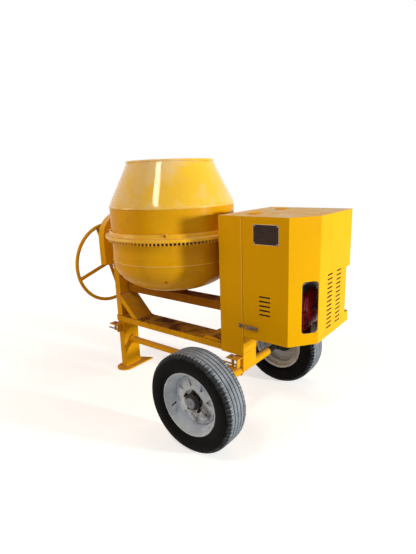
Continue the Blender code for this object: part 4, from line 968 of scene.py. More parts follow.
@dataclass
class Workshop:
    """Makes finished pieces, hangs them on their bodies and keeps count."""

    frame: dict
    effects: Effects = field(default_factory=Effects)
    made: int = 0

    def add(self, name: str, shape: Shape, finish: Finish | TyreRubber, body: Body,
            replaces: tuple[str, ...] = (), steady: bool = False) -> bpy.types.Object:
        """Makes one finished piece.

        Args:
            name: its name.
            shape: its mesh, in the machine's frame.
            finish: its surface.
            body: the body it rides on.
            replaces: the CAD nodes it stands for.
            steady: whether corner normals are weighted by face area, so that flats stay flat.

        Returns:
            The piece.
        """
        bmesh.ops.remove_doubles(shape, verts=shape.verts, dist=MERGE)
        mesh = bpy.data.meshes.new(name)
        shape.to_mesh(mesh)
        shape.free()
        mesh.materials.append(finish.material(self.effects))
        for polygon in mesh.polygons:
            polygon.use_smooth = True
        mesh.set_sharp_from_angle(angle=SMOOTH_ANGLE)
        if steady:
            weigh_normals(mesh, SMOOTH_ANGLE)
        piece = bpy.data.objects.new(name, mesh)
        bpy.context.scene.collection.objects.link(piece)
        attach(piece, body.value)
        if replaces:
            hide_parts(*replaces)
        self.made += 1
        LOG.info("%s rides on %s, %d faces", name, body.value, len(mesh.polygons))
        return piece

    def rounded(self, node: str, finish: Finish, width: float = 0.0015,
                segments: int = 2) -> bpy.types.Object:
        """Stands a copy with rounded edges in for a CAD node.

        Args:
            node: the CAD node.
            finish: its surface.
            width: width of the rounding.
            segments: faces across it.

        Returns:
            The copy.
        """
        source = self.frame["nodes"][node]
        shape = bmesh.new()
        shape.from_mesh(source.data)
        bmesh.ops.remove_doubles(shape, verts=shape.verts, dist=MERGE)
        bmesh.ops.dissolve_limit(shape, angle_limit=math.radians(0.6), verts=shape.verts, edges=shape.edges)
        soften(shape, width, segments)
        body = next(b for b in Body if source.parent == self.frame["bodies"][b.value])
        return self.add(f"{node}_rounded", shape, finish, body, replaces=(node,), steady=True)

    def dress(self, node: str, finish: Finish) -> None:
        """Gives a CAD node its finish and keeps its shape.

        Args:
            node: the CAD node.
            finish: its surface.
        """
        piece = self.frame["nodes"][node]
        piece.data.materials.clear()
        piece.data.materials.append(finish.material(self.effects))
        LOG.info("%s keeps its shape in %s", node, finish.name)


def weigh_normals(mesh: bpy.types.Mesh, angle: float) -> None:
    """Weights every corner's normal by the area of the faces that meet there.

    Args:
        mesh: the mesh, already shaded smooth.
        angle: faces turned by more than this from each other are not joined.
    """
    limit = math.cos(angle)
    around: list[list[bpy.types.MeshPolygon]] = [[] for _ in mesh.vertices]
    for polygon in mesh.polygons:
        for vertex in polygon.vertices:
            around[vertex].append(polygon)
    normals = []
    for polygon in mesh.polygons:
        for vertex in polygon.vertices:
            near = [other for other in around[vertex] if other.normal.dot(polygon.normal) > limit]
            normals.append(sum((other.normal * other.area for other in near), Vector()).normalized())
    mesh.normals_split_custom_set(normals)


def about(shape: Shape, centre: Point, turn: float, axis: str) -> Shape:
    """Turns a shape made at the origin about one axis and moves it to its centre.

    Args:
        shape: the shape, which is changed.
        centre: where its origin goes.
        turn: the turn in degrees.
        axis: X, Y or Z.

    Returns:
        The same shape.
    """
    matrix = Matrix.Translation(centre) @ Matrix.Rotation(math.radians(turn), 4, axis)
    bmesh.ops.transform(shape, matrix=matrix, verts=shape.verts)
    return shape


# ------------ drum
@dataclass
class Drum:
    """The bowl, cone, mouth bead and ring gear, turned finely round the drum's axis."""

    shop: Workshop
    steps: int = 144
    sheet: float = 0.004
    bottom_r: float = 0.130
    seam_z: float = 0.957
    seam_swell: float = 0.0028
    seam_bead_r: float = 0.0022
    lip: float = 0.008
    cone_steps: tuple[float, ...] = (0.03, 0.06, 0.25, 0.5, 0.75)
    bowl_bolts: int = 6
    bolt_turn: float = -56.0
    bolt_up_dish: float = 62.0
    bolt_dip: float = 35.0
    ring_lugs: int = 5
    lug_turn: float = -54.0
    teeth: int = 112
    tooth_tip: float = 0.13
    tooth_root: float = 0.19

    def __post_init__(self) -> None:
        """Reads the drum's sizes from its nodes."""
        low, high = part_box("drum_bowl")
        self.axis_x = (low.x + high.x) / 2
        self.bowl_r = (high.x - low.x) / 2
        self.bottom_z, self.top_z = low.z, high.z
        self.cone_low, self.cone_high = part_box("drum_cone")
        self.rim_low, self.rim_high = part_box("mouth_rim")
        self.axis_y = (low.y + high.y) / 2
        self.foot: Point = (self.axis_x, self.axis_y, 0.0)

    def build(self) -> None:
        """Builds every piece of the drum."""
        self.bowl()
        self.cone()
        self.mouth()
        self.ring_gear()
        self.bolts()
        for node in ("mixing_blade_1", "mixing_blade_2"):
            self.shop.rounded(node, BOWL_PAINT)
        self.shop.dress("drum_hub", BOWL_PAINT)

    def dish(self, inset: float, count: int = 22) -> Outline:
        """Section of the bowl's bottom from its flat centre to its straight side.

        Args:
            inset: how far inside the outer face it lies.
            count: number of steps along the bend.

        Returns:
            Points of (radius, height).
        """
        radius, bottom = self.bowl_r - inset, self.bottom_z + inset
        points = []
        for step in range(count + 1):
            angle = math.radians(90 * step / count)
            out = self.bottom_r + (radius - self.bottom_r) * math.sin(angle)
            points.append((out, self.seam_z - (self.seam_z - bottom) * math.cos(angle)))
        return [(0.0, bottom), *points]

    def bowl(self) -> None:
        """The bowl with its raised seam weld."""
        swell_r = self.bowl_r + self.seam_swell
        seam = [(self.bowl_r, self.seam_z + 0.001), (swell_r, self.seam_z + 0.004),
                (swell_r, self.seam_z + 0.008), (self.bowl_r, self.seam_z + 0.011)]
        outer = self.dish(0.0) + seam + [(self.bowl_r, self.top_z)]
        inner = [*self.dish(self.sheet), (self.bowl_r - self.sheet, self.top_z)]
        shape = turned(outer + inner[::-1], Along.Z, self.foot, self.steps)
        self.shop.add("bowl_shell", shape, BOWL_PAINT, Body.DRUM, replaces=("drum_bowl",))
        # The two seam beads are real ridges, painted a brighter yellow than the drum as a painted highlight
        # along the seams.
        for name, radius, level in (("dish_seam", self.bowl_r + 0.0022, self.seam_z + 0.006),
                                    ("lap_seam", self.bowl_r + 0.0030, self.cone_low.z - 0.0015)):
            bead = turned(arc((radius, level), self.seam_bead_r, 0, 330, 11), Along.Z, self.foot, self.steps)
            self.shop.add(name, bead, SEAM_HIGHLIGHT, Body.DRUM)

    def cone(self) -> None:
        """The cone, with a lapped lip at its base and a rolled fold under the mouth."""
        lip_r = self.bowl_r + 0.004
        low, high = self.cone_low.z, self.cone_high.z
        mouth_r = (self.rim_low.x + self.rim_high.x) / 2 - self.rim_low.x - 0.007
        rise = high - low - self.lip
        slope = (lip_r - mouth_r) / rise
        outer = [(lip_r - 0.001, low), (lip_r, low + 0.001), (lip_r, low + 0.006),
                 (lip_r - 0.002, low + 0.009), (lip_r - 0.006, low + 0.012)]
        for share in self.cone_steps:
            level = low + self.lip + rise * share
            outer.append((lip_r - slope * (level - low - self.lip) - 0.001, level))
        outer += [(mouth_r + 0.004, high - 0.008), (mouth_r, high)]
        inner = [(self.bowl_r - self.sheet, low), (self.bowl_r - self.sheet, low + self.lip),
                 (mouth_r - self.sheet, high)]
        shape = turned(outer + inner[::-1], Along.Z, self.foot, self.steps)
        # The cone's enamel carries a painted sheen in its tan patches.
        self.shop.add("cone_shell", shape, CONE_PAINT_AND_SHEEN, Body.DRUM, replaces=("drum_cone",))

    def mouth(self) -> None:
        """The rolled bead round the mouth."""
        outer_r = (self.rim_high.x - self.rim_low.x) / 2
        half = (self.rim_high.z - self.rim_low.z) / 2
        centre = (outer_r - half, self.rim_low.z + half)
        shape = turned(arc(centre, half, 0, 345, 15), Along.Z, self.foot, self.steps)
        self.shop.add("mouth_bead", shape, CONE_PAINT_AND_SHEEN, Body.DRUM, replaces=("mouth_rim",))

    def ring_gear(self) -> None:
        """The flanged gear ring with teeth that point down."""
        low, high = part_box("ring_gear")
        flange_r, inner = (high.x - low.x) / 2, self.bowl_r + 0.0005
        root, top = low.z + 0.0155, high.z
        flange_top = low.z + 0.0365
        section = [(inner, root), (flange_r - 0.0015, root), (flange_r, root + 0.0015),
                   (flange_r, flange_top - 0.005), (flange_r - 0.002, flange_top - 0.001),
                   (flange_r - 0.006, flange_top), (self.bowl_r + 0.020, flange_top + 0.0005),
                   (self.bowl_r + 0.0175, flange_top + 0.003), (self.bowl_r + 0.016, top - 0.002),
                   (self.bowl_r + 0.0145, top), (inner, top)]
        ring = turned(section, Along.Z, self.foot, self.steps)
        pitch = FULL_TURN * (self.bowl_r + 0.0175) / self.teeth
        tip, foot = pitch * self.tooth_tip, pitch * self.tooth_root
        outline = [(-tip, low.z - 0.006), (tip, low.z - 0.006), (foot, root + 0.002), (-foot, root + 0.002)]
        shapes = [ring]
        for number in range(self.teeth):
            tooth = prism(outline, Along.X, self.bowl_r + 0.007, self.bowl_r + 0.028, round_by=0.0012)
            shapes.append(about(tooth, self.foot, 360 * number / self.teeth, "Z"))
        self.shop.add("toothed_ring", gathered(shapes), RING_PAINT, Body.DRUM, replaces=("ring_gear",))
        # A near-black band behind the teeth, so that the gaps between them read black: painted shade in the
        # gaps.
        gap_shade_section = [(inner, low.z - 0.005), (inner + 0.0095, low.z - 0.004), (inner + 0.0105, root - 0.003),
                  (inner + 0.0200, root - 0.0004), (inner + 0.0200, root + 0.001), (inner, root + 0.001)]
        self.shop.add("tooth_gap_shade", turned(gap_shade_section, Along.Z, self.foot, self.steps), TOOTH_GAP_SHADE, Body.DRUM)

    def bolts(self) -> None:
        """Bolts of the blades through the dish, and the lugs and bolts of the ring."""
        heads = []
        angle, dip = math.radians(self.bolt_up_dish), math.radians(self.bolt_dip)
        out = self.bottom_r + (self.bowl_r - self.bottom_r) * math.sin(angle)
        level = self.seam_z - (self.seam_z - self.bottom_z) * math.cos(angle)
        for number in range(self.bowl_bolts):
            turn = math.radians(self.bolt_turn + 360 * number / self.bowl_bolts)
            way = (math.cos(turn) * math.cos(dip), math.sin(turn) * math.cos(dip), -math.sin(dip))
            base = (self.axis_x + out * math.cos(turn), self.axis_y + out * math.sin(turn), level)
            heads.append(bolt(base, way, 0.014, 0.006))
        self.shop.add("blade_bolts", gathered(heads), YOKE_PAINTED_SHADE, Body.DRUM)

        lugs, bolts = [], []
        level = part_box("ring_gear")[1].z
        for number in range(self.ring_lugs):
            turn = self.lug_turn + 360 * number / self.ring_lugs
            lug = block((self.bowl_r - 0.001, -0.013, level - 0.018),
                        (self.bowl_r + 0.019, 0.013, level + 0.004), 0.003)
            head = bolt((self.bowl_r + 0.018, 0, level - 0.007), (1, 0, 0), 0.011, 0.005)
            lugs.append(about(lug, self.foot, turn, "Z"))
            bolts.append(about(head, self.foot, turn, "Z"))
        self.shop.add("ring_lugs", gathered(lugs), RING_PAINT, Body.DRUM)
        self.shop.add("ring_bolts", gathered(bolts), YOKE_PAINTED_SHADE, Body.DRUM)


# ------------ yoke and tilting gear
@dataclass
class Yoke:
    """The swinging yoke under the drum, and the gears that tip it."""

    shop: Workshop

    def build(self) -> None:
        """Rounds the bars, finishes the shafts and adds welds."""
        # The yoke's bars take the dark brown enamel that paints the shade under the drum.
        for node in ("yoke_left_arm", "yoke_right_arm"):
            self.shop.rounded(node, YOKE_PAINTED_SHADE, 0.0025)
        self.shop.rounded("yoke_beam", YOKE_PAINTED_SHADE, 0.0018)
        self.shop.rounded("tilt_gear", GREASED_STEEL, 0.0008, 1)
        self.shop.dress("left_trunnion", BARE_STEEL)
        self.shop.dress("right_trunnion", BARE_STEEL)
        self.shop.dress("drum_spindle", YOKE_PAINTED_SHADE)
        self.welds()

    def welds(self) -> None:
        """Welds where the cross beam meets its arms."""
        low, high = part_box("yoke_beam")
        beads = []
        for end, side in ((low.x, 1), (high.x, -1)):
            run = [(low.y + 0.001, low.z + 0.004), (low.y + 0.001, high.z - 0.002),
                   (low.y + 0.003, high.z + 0.001), (high.y - 0.003, high.z + 0.001),
                   (high.y - 0.001, high.z - 0.002), (high.y - 0.001, low.z + 0.004)]
            beads.append(weld([(end + side * 0.003, y, z) for y, z in run]))
        self.shop.add("yoke_welds", gathered(beads), WELD_YELLOW, Body.YOKE)


@dataclass
class TiltingGear:
    """Handwheel, its shaft and pinion, the bearings and the gear guard."""

    shop: Workshop
    tube_r: float = 0.013
    hub_r: float = 0.0285
    hub_bore: float = 0.0135
    spokes: int = 4
    spoke_turn: float = 17.0
    spoke_width: float = 0.027
    spoke_thick: float = 0.010

    def build(self) -> None:
        """Builds the handwheel and finishes the parts that carry it."""
        self.handwheel()
        self.shop.dress("handwheel_shaft", BARE_STEEL)
        self.shop.rounded("tilt_pinion", GREASED_STEEL, 0.0008, 1)
        self.shop.dress("handwheel_bush", BARE_STEEL)
        self.shop.rounded("gear_guard", CASING_PAINT, 0.0012)
        for node in ("left_bearing", "right_bearing"):
            self.shop.rounded(node, FRAME_PAINT, 0.002)
            self.nipple(node)

    def handwheel(self) -> None:
        """A bent round bar with flat spokes, a turned hub and the nut that holds it."""
        low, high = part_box("handwheel")
        centre = (low.x + self.tube_r, 0.0, (low.z + high.z) / 2)
        outer = (high.z - low.z) / 2
        rim = turned(arc((outer - self.tube_r, 0.0), self.tube_r, 0, 342, 19), Along.X, centre, 128)
        hub_r, bore = self.hub_r, self.hub_bore
        hub = turned([(bore, -0.008), (hub_r - 0.003, -0.008), (hub_r, -0.005), (hub_r, 0.022),
                      (hub_r - 0.004, 0.027), (bore, 0.027)], Along.X, centre, 40)
        shapes = [rim, hub]
        joint_r = outer - 2 * self.tube_r + 0.001
        for number in range(self.spokes):
            spoke = block((-self.spoke_thick / 2, hub_r * 0.6, -self.spoke_width / 2),
                          (self.spoke_thick / 2, outer - self.tube_r, self.spoke_width / 2), 0.002)
            joint = weld([(0.004, joint_r, -0.012), (0.004, joint_r, 0.012)], 0.0035)
            turn = self.spoke_turn + 360 * number / self.spokes
            shapes += [about(shape, centre, turn, "X") for shape in (spoke, joint)]
        self.shop.add("handwheel_bar", gathered(shapes), FRAME_PAINT, Body.HANDWHEEL, replaces=("handwheel",))
        nut = bolt((centre[0] - 0.0085, 0.0, centre[2]), (-1, 0, 0), 0.022, 0.004, washer=False)
        self.shop.add("handwheel_nut", nut, ZINC, Body.HANDWHEEL)

    def nipple(self, node: str) -> None:
        """A grease nipple on top of a bearing.

        Args:
            node: the bearing's CAD node.
        """
        low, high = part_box(node)
        pin_low, pin_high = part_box("left_trunnion")
        at = ((low.x + high.x) / 2, (pin_low.y + pin_high.y) / 2, high.z - 0.001)
        section = [(0.0, 0.0), (0.005, 0.0), (0.005, 0.005), (0.003, 0.006), (0.003, 0.010), (0.0042, 0.012),
                   (0.003, 0.014), (0.0, 0.015)]
        self.shop.add(f"{node}_nipple", turned(section, Along.Z, at, 16), ZINC, Body.FRAME)


# ------------ frame
@dataclass
class MainFrame:
    """Sill, posts, legs, braces, tie tube and axle, with their welds."""

    shop: Workshop
    collar_r: float = 0.033
    tie_r: float = 0.024
    tie_bore: float = 0.020
    axle_shoulder: float = 0.285
    spindle_r: float = 0.020

    def build(self) -> None:
        """Rounds the rolled sections and welds them together."""
        for node in ("base_sill", "sill_pad"):
            self.shop.rounded(node, SILL_PAINT, 0.002)
        for node in ("left_post", "right_post", "left_leg", "right_leg", "left_brace"):
            self.shop.rounded(node, FRAME_PAINT, 0.002)
        self.shop.rounded("left_foot_plate", FRAME_PAINT, 0.0015)
        self.tubes()
        self.welds()

    def tubes(self) -> None:
        """The tie tube with its collar, and the axle beam, turned finely."""
        low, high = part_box("tie_tube")
        centre, end = (low + high) / 2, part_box("axle_beam")[0].x - 0.001
        collar, pipe, bore = self.collar_r, self.tie_r, self.tie_bore
        section = [(bore, low.x), (collar - 0.002, low.x), (collar, low.x + 0.002), (collar, low.x + 0.028),
                   (collar - 0.002, low.x + 0.030), (pipe, low.x + 0.0305), (pipe, end - 0.001),
                   (pipe - 0.0005, end), (bore + 0.0005, end), (bore, end - 0.001)]
        self.shop.add("tie_pipe", turned(section, Along.X, (0, 0, centre.z), 48), FRAME_PAINT, Body.FRAME,
                      replaces=("tie_tube",))
        low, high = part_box("axle_beam")
        centre = (low + high) / 2
        tube_r, shoulder, end, pin = (high.z - low.z) / 2, self.axle_shoulder, high.y, self.spindle_r
        section = [(0.0, -shoulder), (tube_r - 0.003, -shoulder), (tube_r, -shoulder + 0.003),
                   (tube_r, shoulder - 0.003), (tube_r - 0.003, shoulder), (0.0, shoulder)]
        self.shop.add("axle_pipe", turned(section, Along.Y, (centre.x, 0, centre.z), 48), FRAME_PAINT,
                      Body.FRAME, replaces=("axle_beam",))
        section = [(0.0, -end), (pin - 0.0015, -end), (pin, -end + 0.0015), (pin, end - 0.0015),
                   (pin - 0.0015, end), (0.0, end)]
        spindles = turned(section, Along.Y, (centre.x, 0, centre.z), 48)
        self.shop.add("axle_spindles", spindles, HUB_BLACK, Body.FRAME)

    def welds(self) -> None:
        """Beads round the feet of the posts, the leg tops, the left leg's foot and the brace."""
        beads = []
        for node in ("left_post", "right_post"):
            low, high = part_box(node)
            for y in (low.y - 0.001, high.y + 0.001):
                beads.append(weld([(low.x, y, low.z + 0.001), (high.x, y, low.z + 0.001)]))
        low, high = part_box("left_post")
        beads.append(weld([(high.x + 0.001, low.y, low.z + 0.001), (high.x + 0.001, -0.082, low.z + 0.001)]))
        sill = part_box("base_sill")[0].z
        for node in ("left_leg", "right_leg"):
            low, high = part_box(node)
            for side in (low.x + 0.001, high.x - 0.001):
                beads.append(weld([(side, low.y, sill - 0.002), (side, high.y, sill - 0.002)], 0.003))
        low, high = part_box("left_leg")
        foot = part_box("left_foot_plate")[0].z + 0.0125
        beads.append(weld([(low.x, low.y - 0.001, foot), (high.x, low.y - 0.001, foot),
                           (high.x + 0.001, low.y, foot), (high.x + 0.001, high.y, foot)]))
        low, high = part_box("left_brace")
        beads.append(weld([(high.x - 0.002, low.y, low.z + 0.001), (high.x - 0.002, high.y, low.z + 0.001)]))
        x, near, far = low.x + 0.002, low.y + 0.001, high.y - 0.001
        beads.append(weld([(x, near, high.z - 0.058), (x, near, high.z), (x, far, high.z)]))
        self.shop.add("frame_welds", gathered(beads), WELD_YELLOW, Body.FRAME)


# ------------ casing and hood
@dataclass
class Casing:
    """The folded drive casing and the hinges on its top edge."""

    shop: Workshop
    hinge_length: float = 0.090
    hinge_ends: tuple[float, float] = (0.070, 0.160)
    knuckles: int = 5
    knuckle_gap: float = 0.0004
    leaf_width: float = 0.034
    leaf_screws: tuple[float, float, float] = (0.015, 0.045, 0.075)
    leaf_screw_out: float = 0.022
    front_screws_in: float = 0.030
    back_screws_in: float = 0.060
    back_screws_from: float = 0.62

    def build(self) -> None:
        """Rounds the casing's folds and adds its hinges, screws and a painted highlight strip."""
        self.shop.rounded("drive_casing", CASING_PAINT, 0.0014)
        self.hinges()
        self.screws()
        self.add_highlight_strip()

    def add_highlight_strip(self) -> None:
        """A strip of brighter yellow down the corner that the hood closes on: a painted highlight for the
        light this edge catches.
        """
        low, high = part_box("drive_casing")
        strip = block((high.x - 0.0042, low.y - 0.0040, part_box("hood")[0].z),
                      (high.x - 0.0004, low.y + 0.0005, high.z - 0.004), 0.0008)
        self.shop.add("casing_highlight_strip", strip, HIGHLIGHT_STRIP_YELLOW, Body.FRAME)

    def hinges(self) -> None:
        """Two butt hinges whose pins lie on the hood's axis."""
        low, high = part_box("hood_hinge")
        axis_x, axis_z, radius = (low.x + high.x) / 2, (low.z + high.z) / 2, (high.x - low.x) / 2
        bottom, top = axis_z - radius - 0.0002, axis_z - 0.0028
        pitch, gap, width = self.hinge_length / self.knuckles, self.knuckle_gap, self.leaf_width
        fixed, moving = [], []
        for start in (low.y + self.hinge_ends[0], high.y - self.hinge_ends[1]):
            end = start + self.hinge_length
            for knuckle in range(self.knuckles):
                first = start + knuckle * pitch
                barrel = rod(radius, (axis_x, first + gap, axis_z), (axis_x, first + pitch - gap, axis_z))
                (fixed if knuckle % 2 == 0 else moving).append(barrel)
            fixed.append(block((axis_x - width, start, bottom), (axis_x, end, top), 0.0006))
            moving.append(block((axis_x + 0.0005, start, bottom), (axis_x + width, end, top), 0.0006))
            for along in self.leaf_screws:
                for side, pile in ((-1, fixed), (1, moving)):
                    at = (axis_x + side * self.leaf_screw_out, start + along, axis_z - 0.003)
                    pile.append(bolt(at, (0, 0, 1), 0.007, 0.0022, washer=False))
        self.shop.add("hinge_leaves_fixed", gathered(fixed), FRAME_PAINT, Body.FRAME,
                      replaces=("hood_hinge",))
        self.shop.add("hinge_leaves_moving", gathered(moving), FRAME_PAINT, Body.HOOD)

    def screws(self) -> None:
        """Painted screws down the casing's front edge and its drum side."""
        low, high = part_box("drive_casing")
        heads = []
        for level in (low.z + 0.10, (low.z + high.z) / 2, high.z - 0.07):
            for y, z in ((low.y + self.front_screws_in, level),
                         (high.y - self.back_screws_in, max(level, self.back_screws_from))):
                heads.append(bolt((low.x, y, z), (-1, 0, 0), 0.011, 0.0035))
        self.shop.add("casing_screws", gathered(heads), CASING_PAINT, Body.FRAME)


@dataclass
class Hood:
    """The tipping hood with its plate and latch, and near-black sheets behind its slots that paint shade
    there.
    """

    shop: Workshop
    slot_pitch: float = 0.027
    slot_length: float = 0.072
    side_starts: tuple[float, float] = (0.180, 0.315)
    side_top: float = 0.915
    side_rows: int = 13
    front_slot_x: float = 0.5795
    front_top: float = 0.808
    front_rows: int = 5
    plate_low: tuple[float, float] = (0.542, 1.1085)
    plate_high: tuple[float, float] = (0.705, 1.2230)
    plate_bend: float = 0.008
    rivet_in: float = 0.009
    shade_sheet_gap: float = 0.0095
    shade_sheet_back: float = 0.016
    shade_sheet_above: float = 0.022
    shade_sheet_below: float = 0.010

    def build(self) -> None:
        """Rounds the hood's folds and adds what is fixed to it."""
        self.shop.rounded("hood", CASING_PAINT, 0.0014)
        self.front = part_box("hood")[0].y
        self.shade_sheets()
        self.nameplate()
        self.latch()

    def shade_sheets(self) -> None:
        """Near-black sheets inside the hood behind its slots: painted shade, so that the slots read dark."""
        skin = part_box("hood")[1].x
        bottom = self.side_top - self.slot_pitch * self.side_rows - self.shade_sheet_below
        side = block((skin - self.shade_sheet_back, self.side_starts[0] - 0.012, bottom),
                     (skin - self.shade_sheet_gap, self.side_starts[1] + self.slot_length + 0.055,
                      self.side_top + self.shade_sheet_above), 0.002)
        bottom = self.front_top - self.slot_pitch * self.front_rows - self.shade_sheet_below
        front = block((self.front_slot_x - 0.045, self.front + self.shade_sheet_gap, bottom),
                      (self.front_slot_x + self.slot_length + 0.015, self.front + self.shade_sheet_back,
                       self.front_top + self.shade_sheet_above), 0.002)
        self.shop.add("slot_shade_sheets", gathered([side, front]), SLOT_SHADE_DARK, Body.HOOD)

    def nameplate(self) -> None:
        """A blank dark plate with a pale edge and four rivets."""
        (low_x, low_z), (high_x, high_z) = self.plate_low, self.plate_high
        edge = prism(self.plate_outline(0.0), Along.Y, self.front - 0.0012, self.front + 0.0002)
        self.shop.add("nameplate_border", edge, PLATE_EDGE, Body.HOOD)
        face = prism(self.plate_outline(0.002), Along.Y, self.front - 0.0018, self.front - 0.0008)
        self.shop.add("nameplate_face", face, PLATE_DARK, Body.HOOD)
        dome = [(0.0, 0.0), (0.0035, 0.0), (0.003, -0.0012), (0.0015, -0.002), (0.0, -0.0022)]
        rivets = [turned(dome, Along.Y, (x, self.front - 0.0014, z), 16)
                  for x in (low_x + self.rivet_in, high_x - self.rivet_in)
                  for z in (low_z + self.rivet_in, high_z - self.rivet_in)]
        self.shop.add("nameplate_rivets", gathered(rivets), ZINC, Body.HOOD)

    def plate_outline(self, inset: float) -> Outline:
        """Outline of the plate with rounded corners.

        Args:
            inset: how far it is pulled in.

        Returns:
            Points of (z, x).
        """
        bend = max(self.plate_bend - inset, 0.002)
        pull = inset + bend
        (low_x, low_z), (high_x, high_z) = self.plate_low, self.plate_high
        outline: Outline = []
        for z, x, start in ((high_z - pull, high_x - pull, 0), (low_z + pull, high_x - pull, 90),
                            (low_z + pull, low_x + pull, 180), (high_z - pull, low_x + pull, 270)):
            outline += arc((z, x), bend, start, start + 90, 5)
        return outline

    def latch(self) -> None:
        """A toggle latch: a pressed lever on its base, a wire bail and the hooked catch."""
        low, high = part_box("latch_lever")
        level, pivot = (low.z + high.z) / 2, high.x
        lever = block((low.x + 0.030, low.y + 0.001, level - 0.010),
                      (pivot - 0.004, high.y - 0.003, level + 0.010), 0.002)
        tongue = block((pivot - 0.020, low.y + 0.0005, level - 0.013),
                       (pivot - 0.003, high.y - 0.004, level + 0.013), 0.003)
        bail = [(pivot - 0.030, -0.0115), (low.x + 0.006, -0.0115), (low.x + 0.002, -0.008),
                (low.x + 0.002, 0.008), (low.x + 0.006, 0.0115), (pivot - 0.030, 0.0115)]
        wire = tube([(x, low.y + 0.004, level + z) for x, z in bail], 0.0022)
        self.shop.add("latch_toggle", gathered([lever, tongue, wire]), LATCH_STEEL, Body.LATCH,
                      replaces=("latch_lever",))
        low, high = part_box("latch_keeper")
        plate = block((low.x - 0.004, high.y - 0.003, low.z - 0.003), (high.x, high.y, high.z + 0.003), 0.001)
        hook = block((low.x + 0.004, low.y, low.z + 0.003), (low.x + 0.012, high.y, high.z - 0.003), 0.002)
        heads = [bolt((high.x - 0.006, high.y - 0.003, z), (0, -1, 0), 0.006, 0.002, washer=False)
                 for z in (low.z + 0.002, high.z - 0.002)]
        self.shop.add("latch_catch", gathered([plate, hook, *heads]), LATCH_STEEL, Body.FRAME,
                      replaces=("latch_keeper",))


